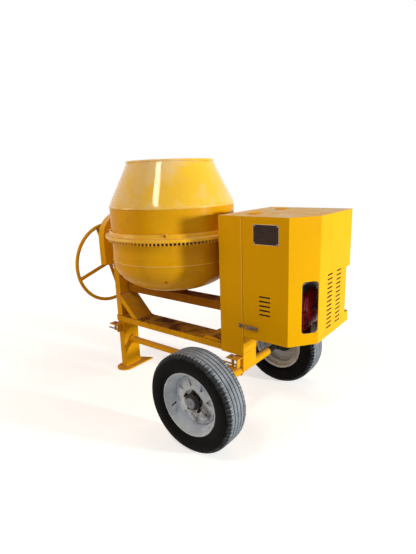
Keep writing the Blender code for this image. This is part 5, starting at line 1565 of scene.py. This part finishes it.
# ------------ engine and drive
@dataclass
class Engine:
    """The petrol engine on its tray: crankcase, finned head, fan housing, tank, silencer and air cleaner."""

    shop: Workshop
    deck_height: float = 0.260
    case_ribs: int = 6
    fins: int = 9
    fin_pitch: float = 0.0155
    cover_slots: int = 14
    cover_bolts: int = 3
    cover_bolt_r: float = 0.108
    cap_ribs: int = 16

    def build(self) -> None:
        """Builds each part of the engine in its CAD block's place."""
        self.low, self.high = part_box("engine_block")
        self.shop.rounded("engine_tray", SILL_PAINT, 0.002)
        self.crankcase()
        self.fan_housing()
        self.tank()
        self.silencer()
        self.air_cleaner()
        self.shop.rounded("reduction_gearbox", CAST_ALUMINIUM, 0.004)

    def crankcase(self) -> None:
        """Red ribbed crankcase, and a bare finned cylinder above it."""
        low, high = self.low, self.high
        deck = low.z + self.deck_height
        case = block(low, (high.x, high.y, deck), 0.012, 3)
        ribs = [block((low.x + 0.02 + 0.028 * rib, low.y, low.z + 0.03),
                      (low.x + 0.024 + 0.028 * rib, low.y + 0.02, deck - 0.03), 0.001)
                for rib in range(self.case_ribs)]
        self.shop.add("crankcase", gathered([case, *ribs]), ENGINE_RED, Body.FRAME,
                      replaces=("engine_block",))
        centre_y = (low.y + high.y) / 2
        fins = [block((low.x + 0.030, centre_y - 0.085, deck - 0.005),
                      (high.x - 0.030, centre_y + 0.085, high.z), 0.004)]
        for row in range(self.fins):
            level = deck + 0.010 + self.fin_pitch * row
            if level + 0.003 < high.z:
                fins.append(block((low.x + 0.018, centre_y - 0.100, level),
                                  (high.x - 0.018, centre_y + 0.100, level + 0.003), 0.0008, 1))
        self.shop.add("cylinder_fins", gathered(fins), CAST_ALUMINIUM, Body.FRAME)

    def fan_housing(self) -> None:
        """The recoil starter's red cover with its ring of slots, over a red fan housing."""
        low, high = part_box("flywheel_shroud")
        centre_y, centre_z = (low.y + high.y) / 2, (low.z + high.z) / 2
        radius = (high.z - low.z) / 2
        section = [(0.0, low.x), (radius - 0.004, low.x), (radius, low.x + 0.004), (radius, low.x + 0.034),
                   (radius - 0.006, low.x + 0.040), (0.0, low.x + 0.040)]
        back = turned(section, Along.X, (0, centre_y, centre_z), 64)
        self.shop.add("fan_housing", back, ENGINE_RED, Body.FRAME, replaces=("flywheel_shroud",))
        cover = [(0.0, low.x + 0.040), (radius - 0.014, low.x + 0.040), (radius - 0.018, low.x + 0.046),
                 (radius - 0.030, high.x - 0.004), (radius - 0.036, high.x), (0.034, high.x),
                 (0.030, high.x - 0.006), (0.0, high.x - 0.006)]
        shell = turned(cover, Along.X, (0, centre_y, centre_z), 72)
        slots = []
        for number in range(self.cover_slots):
            slot = block((high.x - 0.012, 0.045, -0.004), (high.x + 0.01, 0.088, 0.004), 0.002, 1)
            slots.append(about(slot, (0, centre_y, centre_z), 360 * number / self.cover_slots, "X"))
        self.shop.add("recoil_cover", carved(shell, slots), ENGINE_RED, Body.FRAME)
        ribs = [block((low.x + 0.004, low.y - 0.030, low.z + 0.012 + 0.014 * row),
                      (high.x - 0.012, low.y + 0.055, low.z + 0.018 + 0.014 * row), 0.001, 1)
                for row in range(8)]
        back_plate = block((low.x + 0.002, low.y - 0.034, low.z - 0.030),
                           (low.x + 0.010, high.y + 0.040, high.z), 0.003)
        self.shop.add("cowl_ribs", gathered([back_plate, *ribs]), ENGINE_RED, Body.FRAME)
        self.window_fittings(low, high)
        heads = []
        for number in range(self.cover_bolts):
            turn = math.radians(30 + 360 * number / self.cover_bolts)
            y, z = self.cover_bolt_r * math.cos(turn), self.cover_bolt_r * math.sin(turn)
            heads.append(bolt((low.x + 0.040, centre_y + y, centre_z + z), (1, 0, 0), 0.010, 0.005))
        self.shop.add("cover_bolts", gathered(heads), ZINC, Body.FRAME)
        low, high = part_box("recoil_handle")
        grip = block(low, high, 0.0055, 3)
        self.shop.add("recoil_grip", grip, PLASTIC_BLACK, Body.RECOIL, replaces=("recoil_handle",))

    def window_fittings(self, low: Vector, high: Vector) -> None:
        """The ignition box, throttle plate and oil filler that show through the hood's window.

        Args:
            low: the fan housing's lowest corner.
            high: its highest corner.
        """
        box = block((low.x + 0.004, low.y - 0.030, high.z - 0.030),
                    (high.x - 0.022, high.y + 0.040, high.z + 0.100), 0.006)
        self.shop.add("ignition_box", box, ENGINE_BLACK, Body.FRAME)
        plate = block((high.x - 0.024, low.y - 0.026, high.z + 0.024),
                      (high.x - 0.016, low.y + 0.050, high.z + 0.062), 0.002)
        heads = [bolt((high.x - 0.016, low.y + y, high.z + z), (1, 0, 0), 0.012, 0.006)
                 for y, z in ((-0.012, 0.036), (0.032, 0.052))]
        self.shop.add("throttle_plate", gathered([plate, *heads]), CAST_ALUMINIUM, Body.FRAME)
        spot = (high.x + 0.002, low.y + 0.073, low.z + 0.004)
        filler: Outline = [(0.0, 0.0)]
        for fin in range(3):
            level = 0.001 + 0.009 * fin
            filler += [(0.026, level), (0.034, level + 0.001), (0.034, level + 0.005), (0.026, level + 0.006)]
        filler += [(0.018, 0.027), (0.016, 0.032), (0.0, 0.032)]
        self.shop.add("oil_filler", turned(filler, Along.X, spot, 40), CAST_ALUMINIUM, Body.FRAME)

    def tank(self) -> None:
        """The pressed fuel tank with its seam flange, filler neck and ribbed cap."""
        low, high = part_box("fuel_tank")
        cap_low, cap_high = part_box("fuel_cap")
        top = high.z - 0.012
        body = block((low.x, low.y, low.z), (high.x, high.y, top), 0.030, 5)
        seam_z = (low.z + top) / 2
        seam = block((low.x, low.y, seam_z - 0.002), (high.x, high.y, seam_z + 0.002), 0.0008, 1)
        cap_x, cap_y = (cap_low.x + cap_high.x) / 2, (cap_low.y + cap_high.y) / 2
        neck = rod(0.024, (cap_x, cap_y, top - 0.01), (cap_x, cap_y, high.z), 32)
        self.shop.add("tank_shell", gathered([body, seam, neck]), ENGINE_RED, Body.FRAME,
                      replaces=("fuel_tank",))
        radius = (cap_high.x - cap_low.x) / 2
        cap = turned([(0.0, 0.0), (radius - 0.002, 0.0), (radius - 0.001, 0.002), (radius - 0.001, 0.014),
                      (radius - 0.004, 0.0175), (0.0, 0.018)], Along.Z, (cap_x, cap_y, cap_low.z), 48)
        ribs = []
        for number in range(self.cap_ribs):
            turn = FULL_TURN * number / self.cap_ribs
            at = (cap_x + (radius - 0.002) * math.cos(turn), cap_y + (radius - 0.002) * math.sin(turn))
            ribs.append(rod(0.0018, (*at, cap_low.z + 0.001), (*at, cap_low.z + 0.015), 8))
        self.shop.add("ribbed_cap", gathered([cap, *ribs]), PLASTIC_BLACK, Body.CAP, replaces=("fuel_cap",))

    def silencer(self) -> None:
        """A pressed silencer box with a slotted guard."""
        low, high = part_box("muffler")
        shell = block(low, high, 0.014, 3)
        bars = [block((low.x + 0.012, low.y + 0.008, low.z + 0.014 + 0.016 * bar),
                      (high.x - 0.012, high.y, low.z + 0.019 + 0.016 * bar), 0.001, 1) for bar in range(5)]
        self.shop.add("silencer_box", gathered([shell, *bars]), ENGINE_BLACK, Body.FRAME,
                      replaces=("muffler",))

    def air_cleaner(self) -> None:
        """A round air cleaner."""
        low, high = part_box("air_filter")
        centre_x, centre_z, radius = (low.x + high.x) / 2, (low.z + high.z) / 2, (high.z - low.z) / 2
        section = [(0.0, high.y), (radius - 0.006, high.y), (radius - 0.006, high.y - 0.030),
                   (radius, high.y - 0.034), (radius, low.y + 0.014), (radius - 0.010, low.y + 0.003),
                   (0.012, low.y + 0.003), (0.010, low.y), (0.0, low.y)]
        self.shop.add("cleaner_can", turned(section, Along.Y, (centre_x, 0, centre_z), 56), PLASTIC_BLACK,
                      Body.FRAME, replaces=("air_filter",))


@dataclass
class Drive:
    """Belt, pulleys, pinion and its shaft."""

    shop: Workshop
    width: float = 0.026
    groove: float = 0.0102
    groove_half: float = 0.0068
    boss_r: float = 0.012

    def build(self) -> None:
        """Turns the pulleys finely and finishes the rest."""
        self.pulley("driven_pulley", 0.018, Body.PINION)
        self.pulley("engine_pulley", 0.0, Body.CRANK)
        self.shop.dress("drive_belt", BELT_BLACK)
        self.shop.dress("pinion_shaft", BARE_STEEL)
        self.shop.rounded("drive_pinion", GREASED_STEEL, 0.0008, 1)

    def pulley(self, node: str, bore: float, body: Body) -> None:
        """One grooved pulley.

        Args:
            node: the CAD node it stands for.
            bore: its bore radius.
            body: the body it rides on.
        """
        low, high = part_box(node)
        centre_y, centre_z, radius = (low.y + high.y) / 2, (low.z + high.z) / 2, (high.z - low.z) / 2
        floor, end = radius - self.groove, low.x + self.width
        left, right = low.x + self.width / 2 - self.groove_half, low.x + self.width / 2 + self.groove_half
        section = [(bore, low.x), (radius - 0.001, low.x), (radius, low.x + 0.001), (radius, left),
                   (floor, left), (floor, right), (radius, right), (radius, end - 0.001),
                   (radius - 0.001, end)]
        boss = [(self.boss_r, end), (self.boss_r, high.x), (bore, high.x)]
        section += boss if bore == 0.0 else [(bore, end)]
        wheel = turned(section, Along.X, (0, centre_y, centre_z), 56)
        self.shop.add(f"{node}_turned", wheel, GREASED_STEEL, body, replaces=(node,))


# ------------ road wheels
@dataclass
class RoadWheel:
    """One trailer wheel: grooved tyre, vented disc, hub, nuts and valve."""

    shop: Workshop
    side: str
    outward: int
    body: Body
    steps: int = 216
    vents: int = 8
    nuts: int = 5
    tread_half: float = 0.056
    groove_depth: float = 0.007
    crown: float = 0.0012
    lug_depth: float = 0.0035
    vent_corner_r: float = 0.1245
    vent_top_r: float = 0.1275
    vent_foot_r: float = 0.0890
    vent_turn: float = 11.0
    nut_circle: float = 0.060
    valve_turn: float = 200.0
    rust_streaks: tuple[float, float] = (0.85, 0.2)

    def build(self) -> None:
        """Builds the whole wheel."""
        low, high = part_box(f"{self.side}_tyre")
        self.centre: Vector = (low + high) / 2
        self.radius = (high.z - low.z) / 2
        self.half = (high.y - low.y) / 2
        rim_low, rim_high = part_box(f"{self.side}_rim")
        self.rim_r = (rim_high.z - rim_low.z) / 2
        self.bead = (rim_high.y - rim_low.y) / 2
        self.tyre()
        self.rim()
        self.hub()

    def spun(self, profile: Outline, steps: int) -> Shape:
        """A profile of (radius, distance outwards) turned round the wheel's axle."""
        return turned([(radius, self.outward * out) for radius, out in profile], Along.Y, self.centre, steps)

    def tyre(self) -> None:
        """The tyre: ribbed tread with grooves, notched shoulders and a bellied sidewall."""
        bead, half, top, rim, tread = self.bead, self.half, self.radius, self.rim_r, self.tread_half
        side = [(rim - 0.0020, bead - 0.010), (rim + 0.003, bead), (rim + 0.008, bead + 0.003),
                (rim + 0.014, half - 0.008), (rim + 0.030, half - 0.002), (rim + 0.044, half),
                (rim + 0.048, half + 0.0008), (rim + 0.072, half + 0.0004), (rim + 0.078, half - 0.001),
                (top - 0.024, half - 0.003), (top - 0.0225, half - 0.005), (top - 0.013, tread + 0.019),
                (top - 0.005, tread + 0.010), (top - 0.002, tread + 0.003)]
        ribs: Outline = []
        for groove in (0.0405, 0.0135):
            for offset, deep in ((0.0035, 0), (0.0025, 1), (-0.0025, 1), (-0.0035, 0)):
                at = groove + offset
                crown = self.crown * (at / tread) ** 2
                ribs.append((top - crown - deep * self.groove_depth, at))
        outer = side + ribs
        mirrored = [(radius, -out) for radius, out in reversed(outer)]
        shape = self.spun(outer + mirrored + [(top - 0.026, -0.050), (top - 0.026, 0.050)], self.steps)
        self.notch_shoulders(shape)
        rubber = TyreRubber(f"{self.side}_tyre_rubber", tuple(self.centre), self.radius)
        self.shop.add(f"{self.side}_tyre_tread", shape, rubber, self.body, replaces=(f"{self.side}_tyre",))

    def notch_shoulders(self, shape: Shape) -> None:
        """Sinks every third column of shoulder faces to leave lugs between.

        Args:
            shape: the tyre, which is changed.
        """
        picked = []
        for face in shape.faces:
            place = face.calc_center_median() - self.centre
            reach, out = math.hypot(place.x, place.z), abs(place.y)
            column = math.floor(math.atan2(place.z, place.x) % FULL_TURN / FULL_TURN * self.steps)
            if column % 3 == 0 and out > self.tread_half - 0.002 and self.radius - 0.016 < reach:
                picked.append(face)
        sunk = bmesh.ops.extrude_face_region(shape, geom=picked)
        verts = [item for item in sunk["geom"] if isinstance(item, bmesh.types.BMVert)]
        for vert in verts:
            place = vert.co - self.centre
            inwards = Vector((-place.x, 0, -place.z)).normalized() * self.lug_depth
            vert.co += inwards + Vector((0, -math.copysign(0.0015, place.y), 0))
        bmesh.ops.recalc_face_normals(shape, faces=shape.faces)

    def rim(self) -> None:
        """The pressed rim and its dished disc with triangular vents."""
        lip, bead = self.rim_r, self.bead
        outer = [(lip + 0.005, bead + 0.001), (lip + 0.006, bead + 0.003), (lip + 0.004, bead + 0.0045),
                 (lip - 0.001, bead + 0.003), (lip - 0.005, bead - 0.003), (lip - 0.009, bead - 0.014),
                 (lip - 0.014, 0.048), (lip - 0.021, 0.036), (lip - 0.027, 0.022), (lip - 0.030, 0.0100),
                 (lip - 0.032, 0.0060), (lip - 0.036, 0.0060), (lip - 0.038, 0.0120), (lip - 0.042, 0.0155),
                 (lip - 0.064, 0.0195), (lip - 0.090, 0.0265), (lip - 0.102, 0.0290), (lip - 0.110, 0.0275),
                 (lip - 0.117, 0.018), (0.0495, 0.0165)]
        inner = [(0.0495, 0.0125), (lip - 0.120, 0.0125), (lip - 0.108, 0.022), (lip - 0.090, 0.021),
                 (lip - 0.056, 0.010), (lip - 0.045, 0.0040), (lip - 0.037, 0.0025), (lip - 0.038, -0.034),
                 (lip - 0.018, -0.048), (lip - 0.017, -bead + 0.006), (lip - 0.002, -bead - 0.0005),
                 (lip, -bead), (lip - 0.0125, -bead + 0.006), (lip - 0.0125, -0.048),
                 (lip - 0.0335, -0.034), (lip - 0.0245, 0.020), (lip - 0.0175, 0.036),
                 (lip - 0.0110, 0.048), (lip - 0.006, bead - 0.014)]
        shape = self.spun(outer + inner, 120)
        cutters = []
        for number in range(self.vents):
            turn = 360 * number / self.vents + self.vent_turn
            corner, foot = self.vent_corner_r, self.vent_foot_r
            corners = ((corner, -10.0), (self.vent_top_r, 0.0), (corner, 10.0), (foot, 2.5), (foot, -2.5))
            outline = [self.polar(reach, turn + aside) for reach, aside in corners]
            cutter = prism(outline, Along.Y, -0.01, 0.05)
            bmesh.ops.scale(cutter, vec=(1, self.outward, 1), verts=cutter.verts)
            bmesh.ops.translate(cutter, vec=self.centre, verts=cutter.verts)
            bmesh.ops.recalc_face_normals(cutter, faces=cutter.faces)
            cutters.append(cutter)
        plate = self.spun([(0.082, 0.0135), (0.134, 0.0070), (0.134, 0.0095), (0.082, 0.0165)], 96)
        paint = replace(RIM_SILVER, name=f"{self.side}_rim_silver", stain=self.rust_streaks[self.outward > 0],
                        stain_at=tuple(self.out(0.070, -52, 0.02)))
        self.shop.add(f"{self.side}_rim_pressed", gathered([carved(shape, cutters), plate]), paint, self.body,
                      replaces=(f"{self.side}_rim",))
        self.valve()

    @staticmethod
    def polar(radius: float, turn: float) -> tuple[float, float]:
        """(z, x) of a point at a radius and an angle in degrees."""
        return radius * math.sin(math.radians(turn)), radius * math.cos(math.radians(turn))

    def out(self, radius: float, turn: float, away: float) -> Vector:
        """A point of the wheel by radius, angle in degrees and distance outwards."""
        z, x = self.polar(radius, turn)
        return self.centre + Vector((x, self.outward * away, z))

    def valve(self) -> None:
        """The rubber valve stem with its cap."""
        turn, rim = self.valve_turn, self.rim_r
        stem = rod(0.0055, self.out(rim - 0.036, turn, 0.030), self.out(rim - 0.044, turn, 0.060), 16, 0.004)
        cap = rod(0.0048, self.out(rim - 0.0438, turn, 0.059), self.out(rim - 0.046, turn, 0.070), 16)
        self.shop.add(f"{self.side}_valve", gathered([stem, cap]), PLASTIC_BLACK, self.body)

    def hub(self) -> None:
        """The cast hub with its flange, wheel nuts and studs, and a steel dust cap with a hexagonal tip."""
        low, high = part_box(f"{self.side}_hub")
        length = (high.y - self.centre.y) if self.outward > 0 else (self.centre.y - low.y)
        section = [(0.0205, -0.070), (0.039, -0.070), (0.041, -0.068), (0.041, -0.003), (0.072, -0.002),
                   (0.074, 0.000), (0.074, 0.0093), (0.048, 0.0095), (0.0475, 0.036), (0.044, length - 0.022),
                   (0.036, length - 0.018), (0.0, length - 0.018), (0.0, length - 0.020),
                   (0.0205, length - 0.020)]
        body = self.spun(section, 64)
        self.shop.add(f"{self.side}_hub_cast", body, HUB_BLACK, self.body, replaces=(f"{self.side}_hub",))
        dome = [(0.0, -0.019), (0.031, -0.019), (0.032, -0.016), (0.031, -0.004), (0.027, -0.0015),
                (0.017, -0.001), (0.015, -0.003), (0.0, -0.003)]
        cap = self.spun([(radius, length + out) for radius, out in dome], 56)
        tip = rod(0.009, self.out(0, 0, length - 0.0035), self.out(0, 0, length), 6)
        self.shop.add(f"{self.side}_dust_cap", gathered([cap, tip]), CAP_STEEL, self.body)
        nuts = []
        for number in range(self.nuts):
            turn = 360 * number / self.nuts + 90
            base, start, end = (self.out(self.nut_circle, turn, away) for away in (0.0165, 0.028, 0.038))
            nuts.append(bolt(base, (0, self.outward, 0), 0.019, 0.015, washer=False))
            nuts.append(rod(0.006, start, end, 16))
        self.shop.add(f"{self.side}_wheel_nuts", gathered(nuts), HUB_BLACK, self.body)


# ------------ drawbar clamps
@dataclass
class Clamp:
    """A drawbar clamp: bracket, T-handled screw and a sprung wire pin."""

    shop: Workshop
    side: str
    body: Body
    wire_steps: int = 24

    def build(self) -> None:
        """Rounds the bracket and the screw, and bends the wire."""
        self.shop.rounded(f"{self.side}_clamp_bracket", FRAME_PAINT, 0.0015)
        self.shop.rounded(f"{self.side}_clamp_screw", CLAMP_PAINT, 0.0010)
        low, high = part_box(f"{self.side}_clamp_bracket")
        cheek_x = high.x - 0.021
        turns = [FULL_TURN * step / self.wire_steps for step in range(self.wire_steps)]
        wire = [(cheek_x, low.y + 0.030 + 0.020 * math.sin(turn), low.z + 0.022 + 0.016 * math.cos(turn))
                for turn in turns]
        self.shop.add(f"{self.side}_wire_loop", tube(wire, 0.0022, 10, closed=True), CLAMP_PAINT, Body.FRAME)


# ------------ studio
@dataclass
class Studio:
    """A pale floor, soft lamps and the camera."""

    camera_at: Point = (1.7759, -2.0648, 1.4964)
    azimuth: float = 38.4325
    elevation: float = 13.8284
    roll: float = -1.9882
    lens: float = 26.832
    sensor: float = 36.0
    aim: Point = (0.0, 0.0, 0.85)
    floor_half: float = 14.0
    glow_reach: tuple[float, float] = (1.4, 5.0)
    glow: tuple[float, float] = (0.62, 0.90)
    sky_light: float = 0.13
    sky_tint: Colour = (1.0, 0.80, 0.62)
    white: Colour = (1.0, 1.0, 1.0)

    def build(self) -> None:
        """Sets up the whole stage."""
        self.floor()
        self.world()
        self.lamp("key", (6.14, 1.20, 1.36), 0.28, 0.45, 305.0, (0.97, 0.98, 0.90))
        self.lamp("front", (0.24, -3.05, 5.15), 0.80, 1.3, 64.0, (1.0, 0.88, 0.76))
        self.lamp("fill", (-3.5, -3.9, 2.0), 2.0, 2.0, 66.0, (1.0, 0.80, 0.62))
        self.lamp("top", (0.9, 1.2, 5.0), 2.4, 2.4, 46.0, (1.0, 0.93, 0.84))
        self.camera()

    def floor(self) -> None:
        """A plain pale floor that the camera and reflections see as near white."""
        shape = bmesh.new()
        bmesh.ops.create_grid(shape, x_segments=1, y_segments=1, size=self.floor_half)
        mesh = bpy.data.meshes.new("floor")
        shape.to_mesh(mesh)
        shape.free()
        made = bpy.data.materials.new("pale_floor")
        made.use_nodes = True
        graph = Graph(made.node_tree)
        shader = made.node_tree.nodes["Principled BSDF"]
        shader.inputs["Base Color"].default_value = (0.80, 0.80, 0.80, 1.0)
        shader.inputs["Roughness"].default_value = 0.9
        shader.inputs["Specular IOR Level"].default_value = 0.1
        graph.feed(shader.inputs["Emission Color"], self.white)
        glow = graph.remap(graph.distance(graph.place()), *self.glow_reach, *self.glow)
        graph.feed(shader.inputs["Emission Strength"], graph.math("MULTIPLY", graph.seen(), glow))
        mesh.materials.append(made)
        floor = bpy.data.objects.new("floor", mesh)
        bpy.context.scene.collection.objects.link(floor)

    def world(self) -> None:
        """An even pale sky."""
        world = bpy.data.worlds.new("pale_sky")
        bpy.context.scene.world = world
        world.use_nodes = True
        graph = Graph(world.node_tree)
        background = world.node_tree.nodes["Background"]
        seen = graph.seen()
        graph.feed(background.inputs["Strength"], graph.remap(seen, 0.0, 1.0, self.sky_light, 1.0))
        graph.feed(background.inputs["Color"], graph.blend(seen, self.sky_tint, self.white))

    def lamp(self, name: str, at: Point, width: float, height: float, power: float, tint: Colour) -> None:
        """One soft box aimed at the machine's middle.

        Args:
            name: the lamp's name.
            at: where it stands.
            width: its width.
            height: its height.
            power: its power in watts.
            tint: its colour.
        """
        data = bpy.data.lights.new(name, "AREA")
        data.shape, data.size, data.size_y, data.energy, data.color = "RECTANGLE", width, height, power, tint
        lamp = bpy.data.objects.new(name, data)
        lamp.location = at
        lamp.rotation_euler = (Vector(self.aim) - Vector(at)).to_track_quat("-Z", "Y").to_euler()
        bpy.context.scene.collection.objects.link(lamp)

    def camera(self) -> None:
        """The camera at the machine's front right, at eye level."""
        data = bpy.data.cameras.new("camera")
        data.lens, data.sensor_width = self.lens, self.sensor
        azimuth, elevation = math.radians(self.azimuth), math.radians(self.elevation)
        roll = math.radians(self.roll)
        ahead = Vector((-math.sin(azimuth) * math.cos(elevation), math.cos(azimuth) * math.cos(elevation),
                        -math.sin(elevation)))
        right = ahead.cross(Vector((0, 0, 1))).normalized()
        up = right.cross(ahead)
        turned_right = right * math.cos(roll) + up * math.sin(roll)
        turned_up = up * math.cos(roll) - right * math.sin(roll)
        camera = bpy.data.objects.new("camera", data)
        basis = Matrix((turned_right, turned_up, -ahead)).transposed().to_4x4()
        camera.matrix_world = Matrix.Translation(self.camera_at) @ basis
        bpy.context.scene.collection.objects.link(camera)
        bpy.context.scene.camera = camera


def main() -> None:
    """Builds the machine's looks round its frame, then the stage."""
    bpy.context.scene.view_settings.view_transform = "Standard"
    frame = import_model()
    shop = Workshop(frame)
    assemblies = [
        Drum(shop), Yoke(shop), TiltingGear(shop), MainFrame(shop), Casing(shop), Hood(shop), Engine(shop),
        Drive(shop),
        RoadWheel(shop, "near", -1, Body.NEAR_WHEEL), RoadWheel(shop, "far", 1, Body.FAR_WHEEL),
        Clamp(shop, "left", Body.LEFT_CLAMP), Clamp(shop, "right", Body.RIGHT_CLAMP),
    ]
    for assembly in assemblies:
        assembly.build()
    Studio().build()
    LOG.info("%d pieces made", shop.made)


if __name__ == "__main__":
    main()
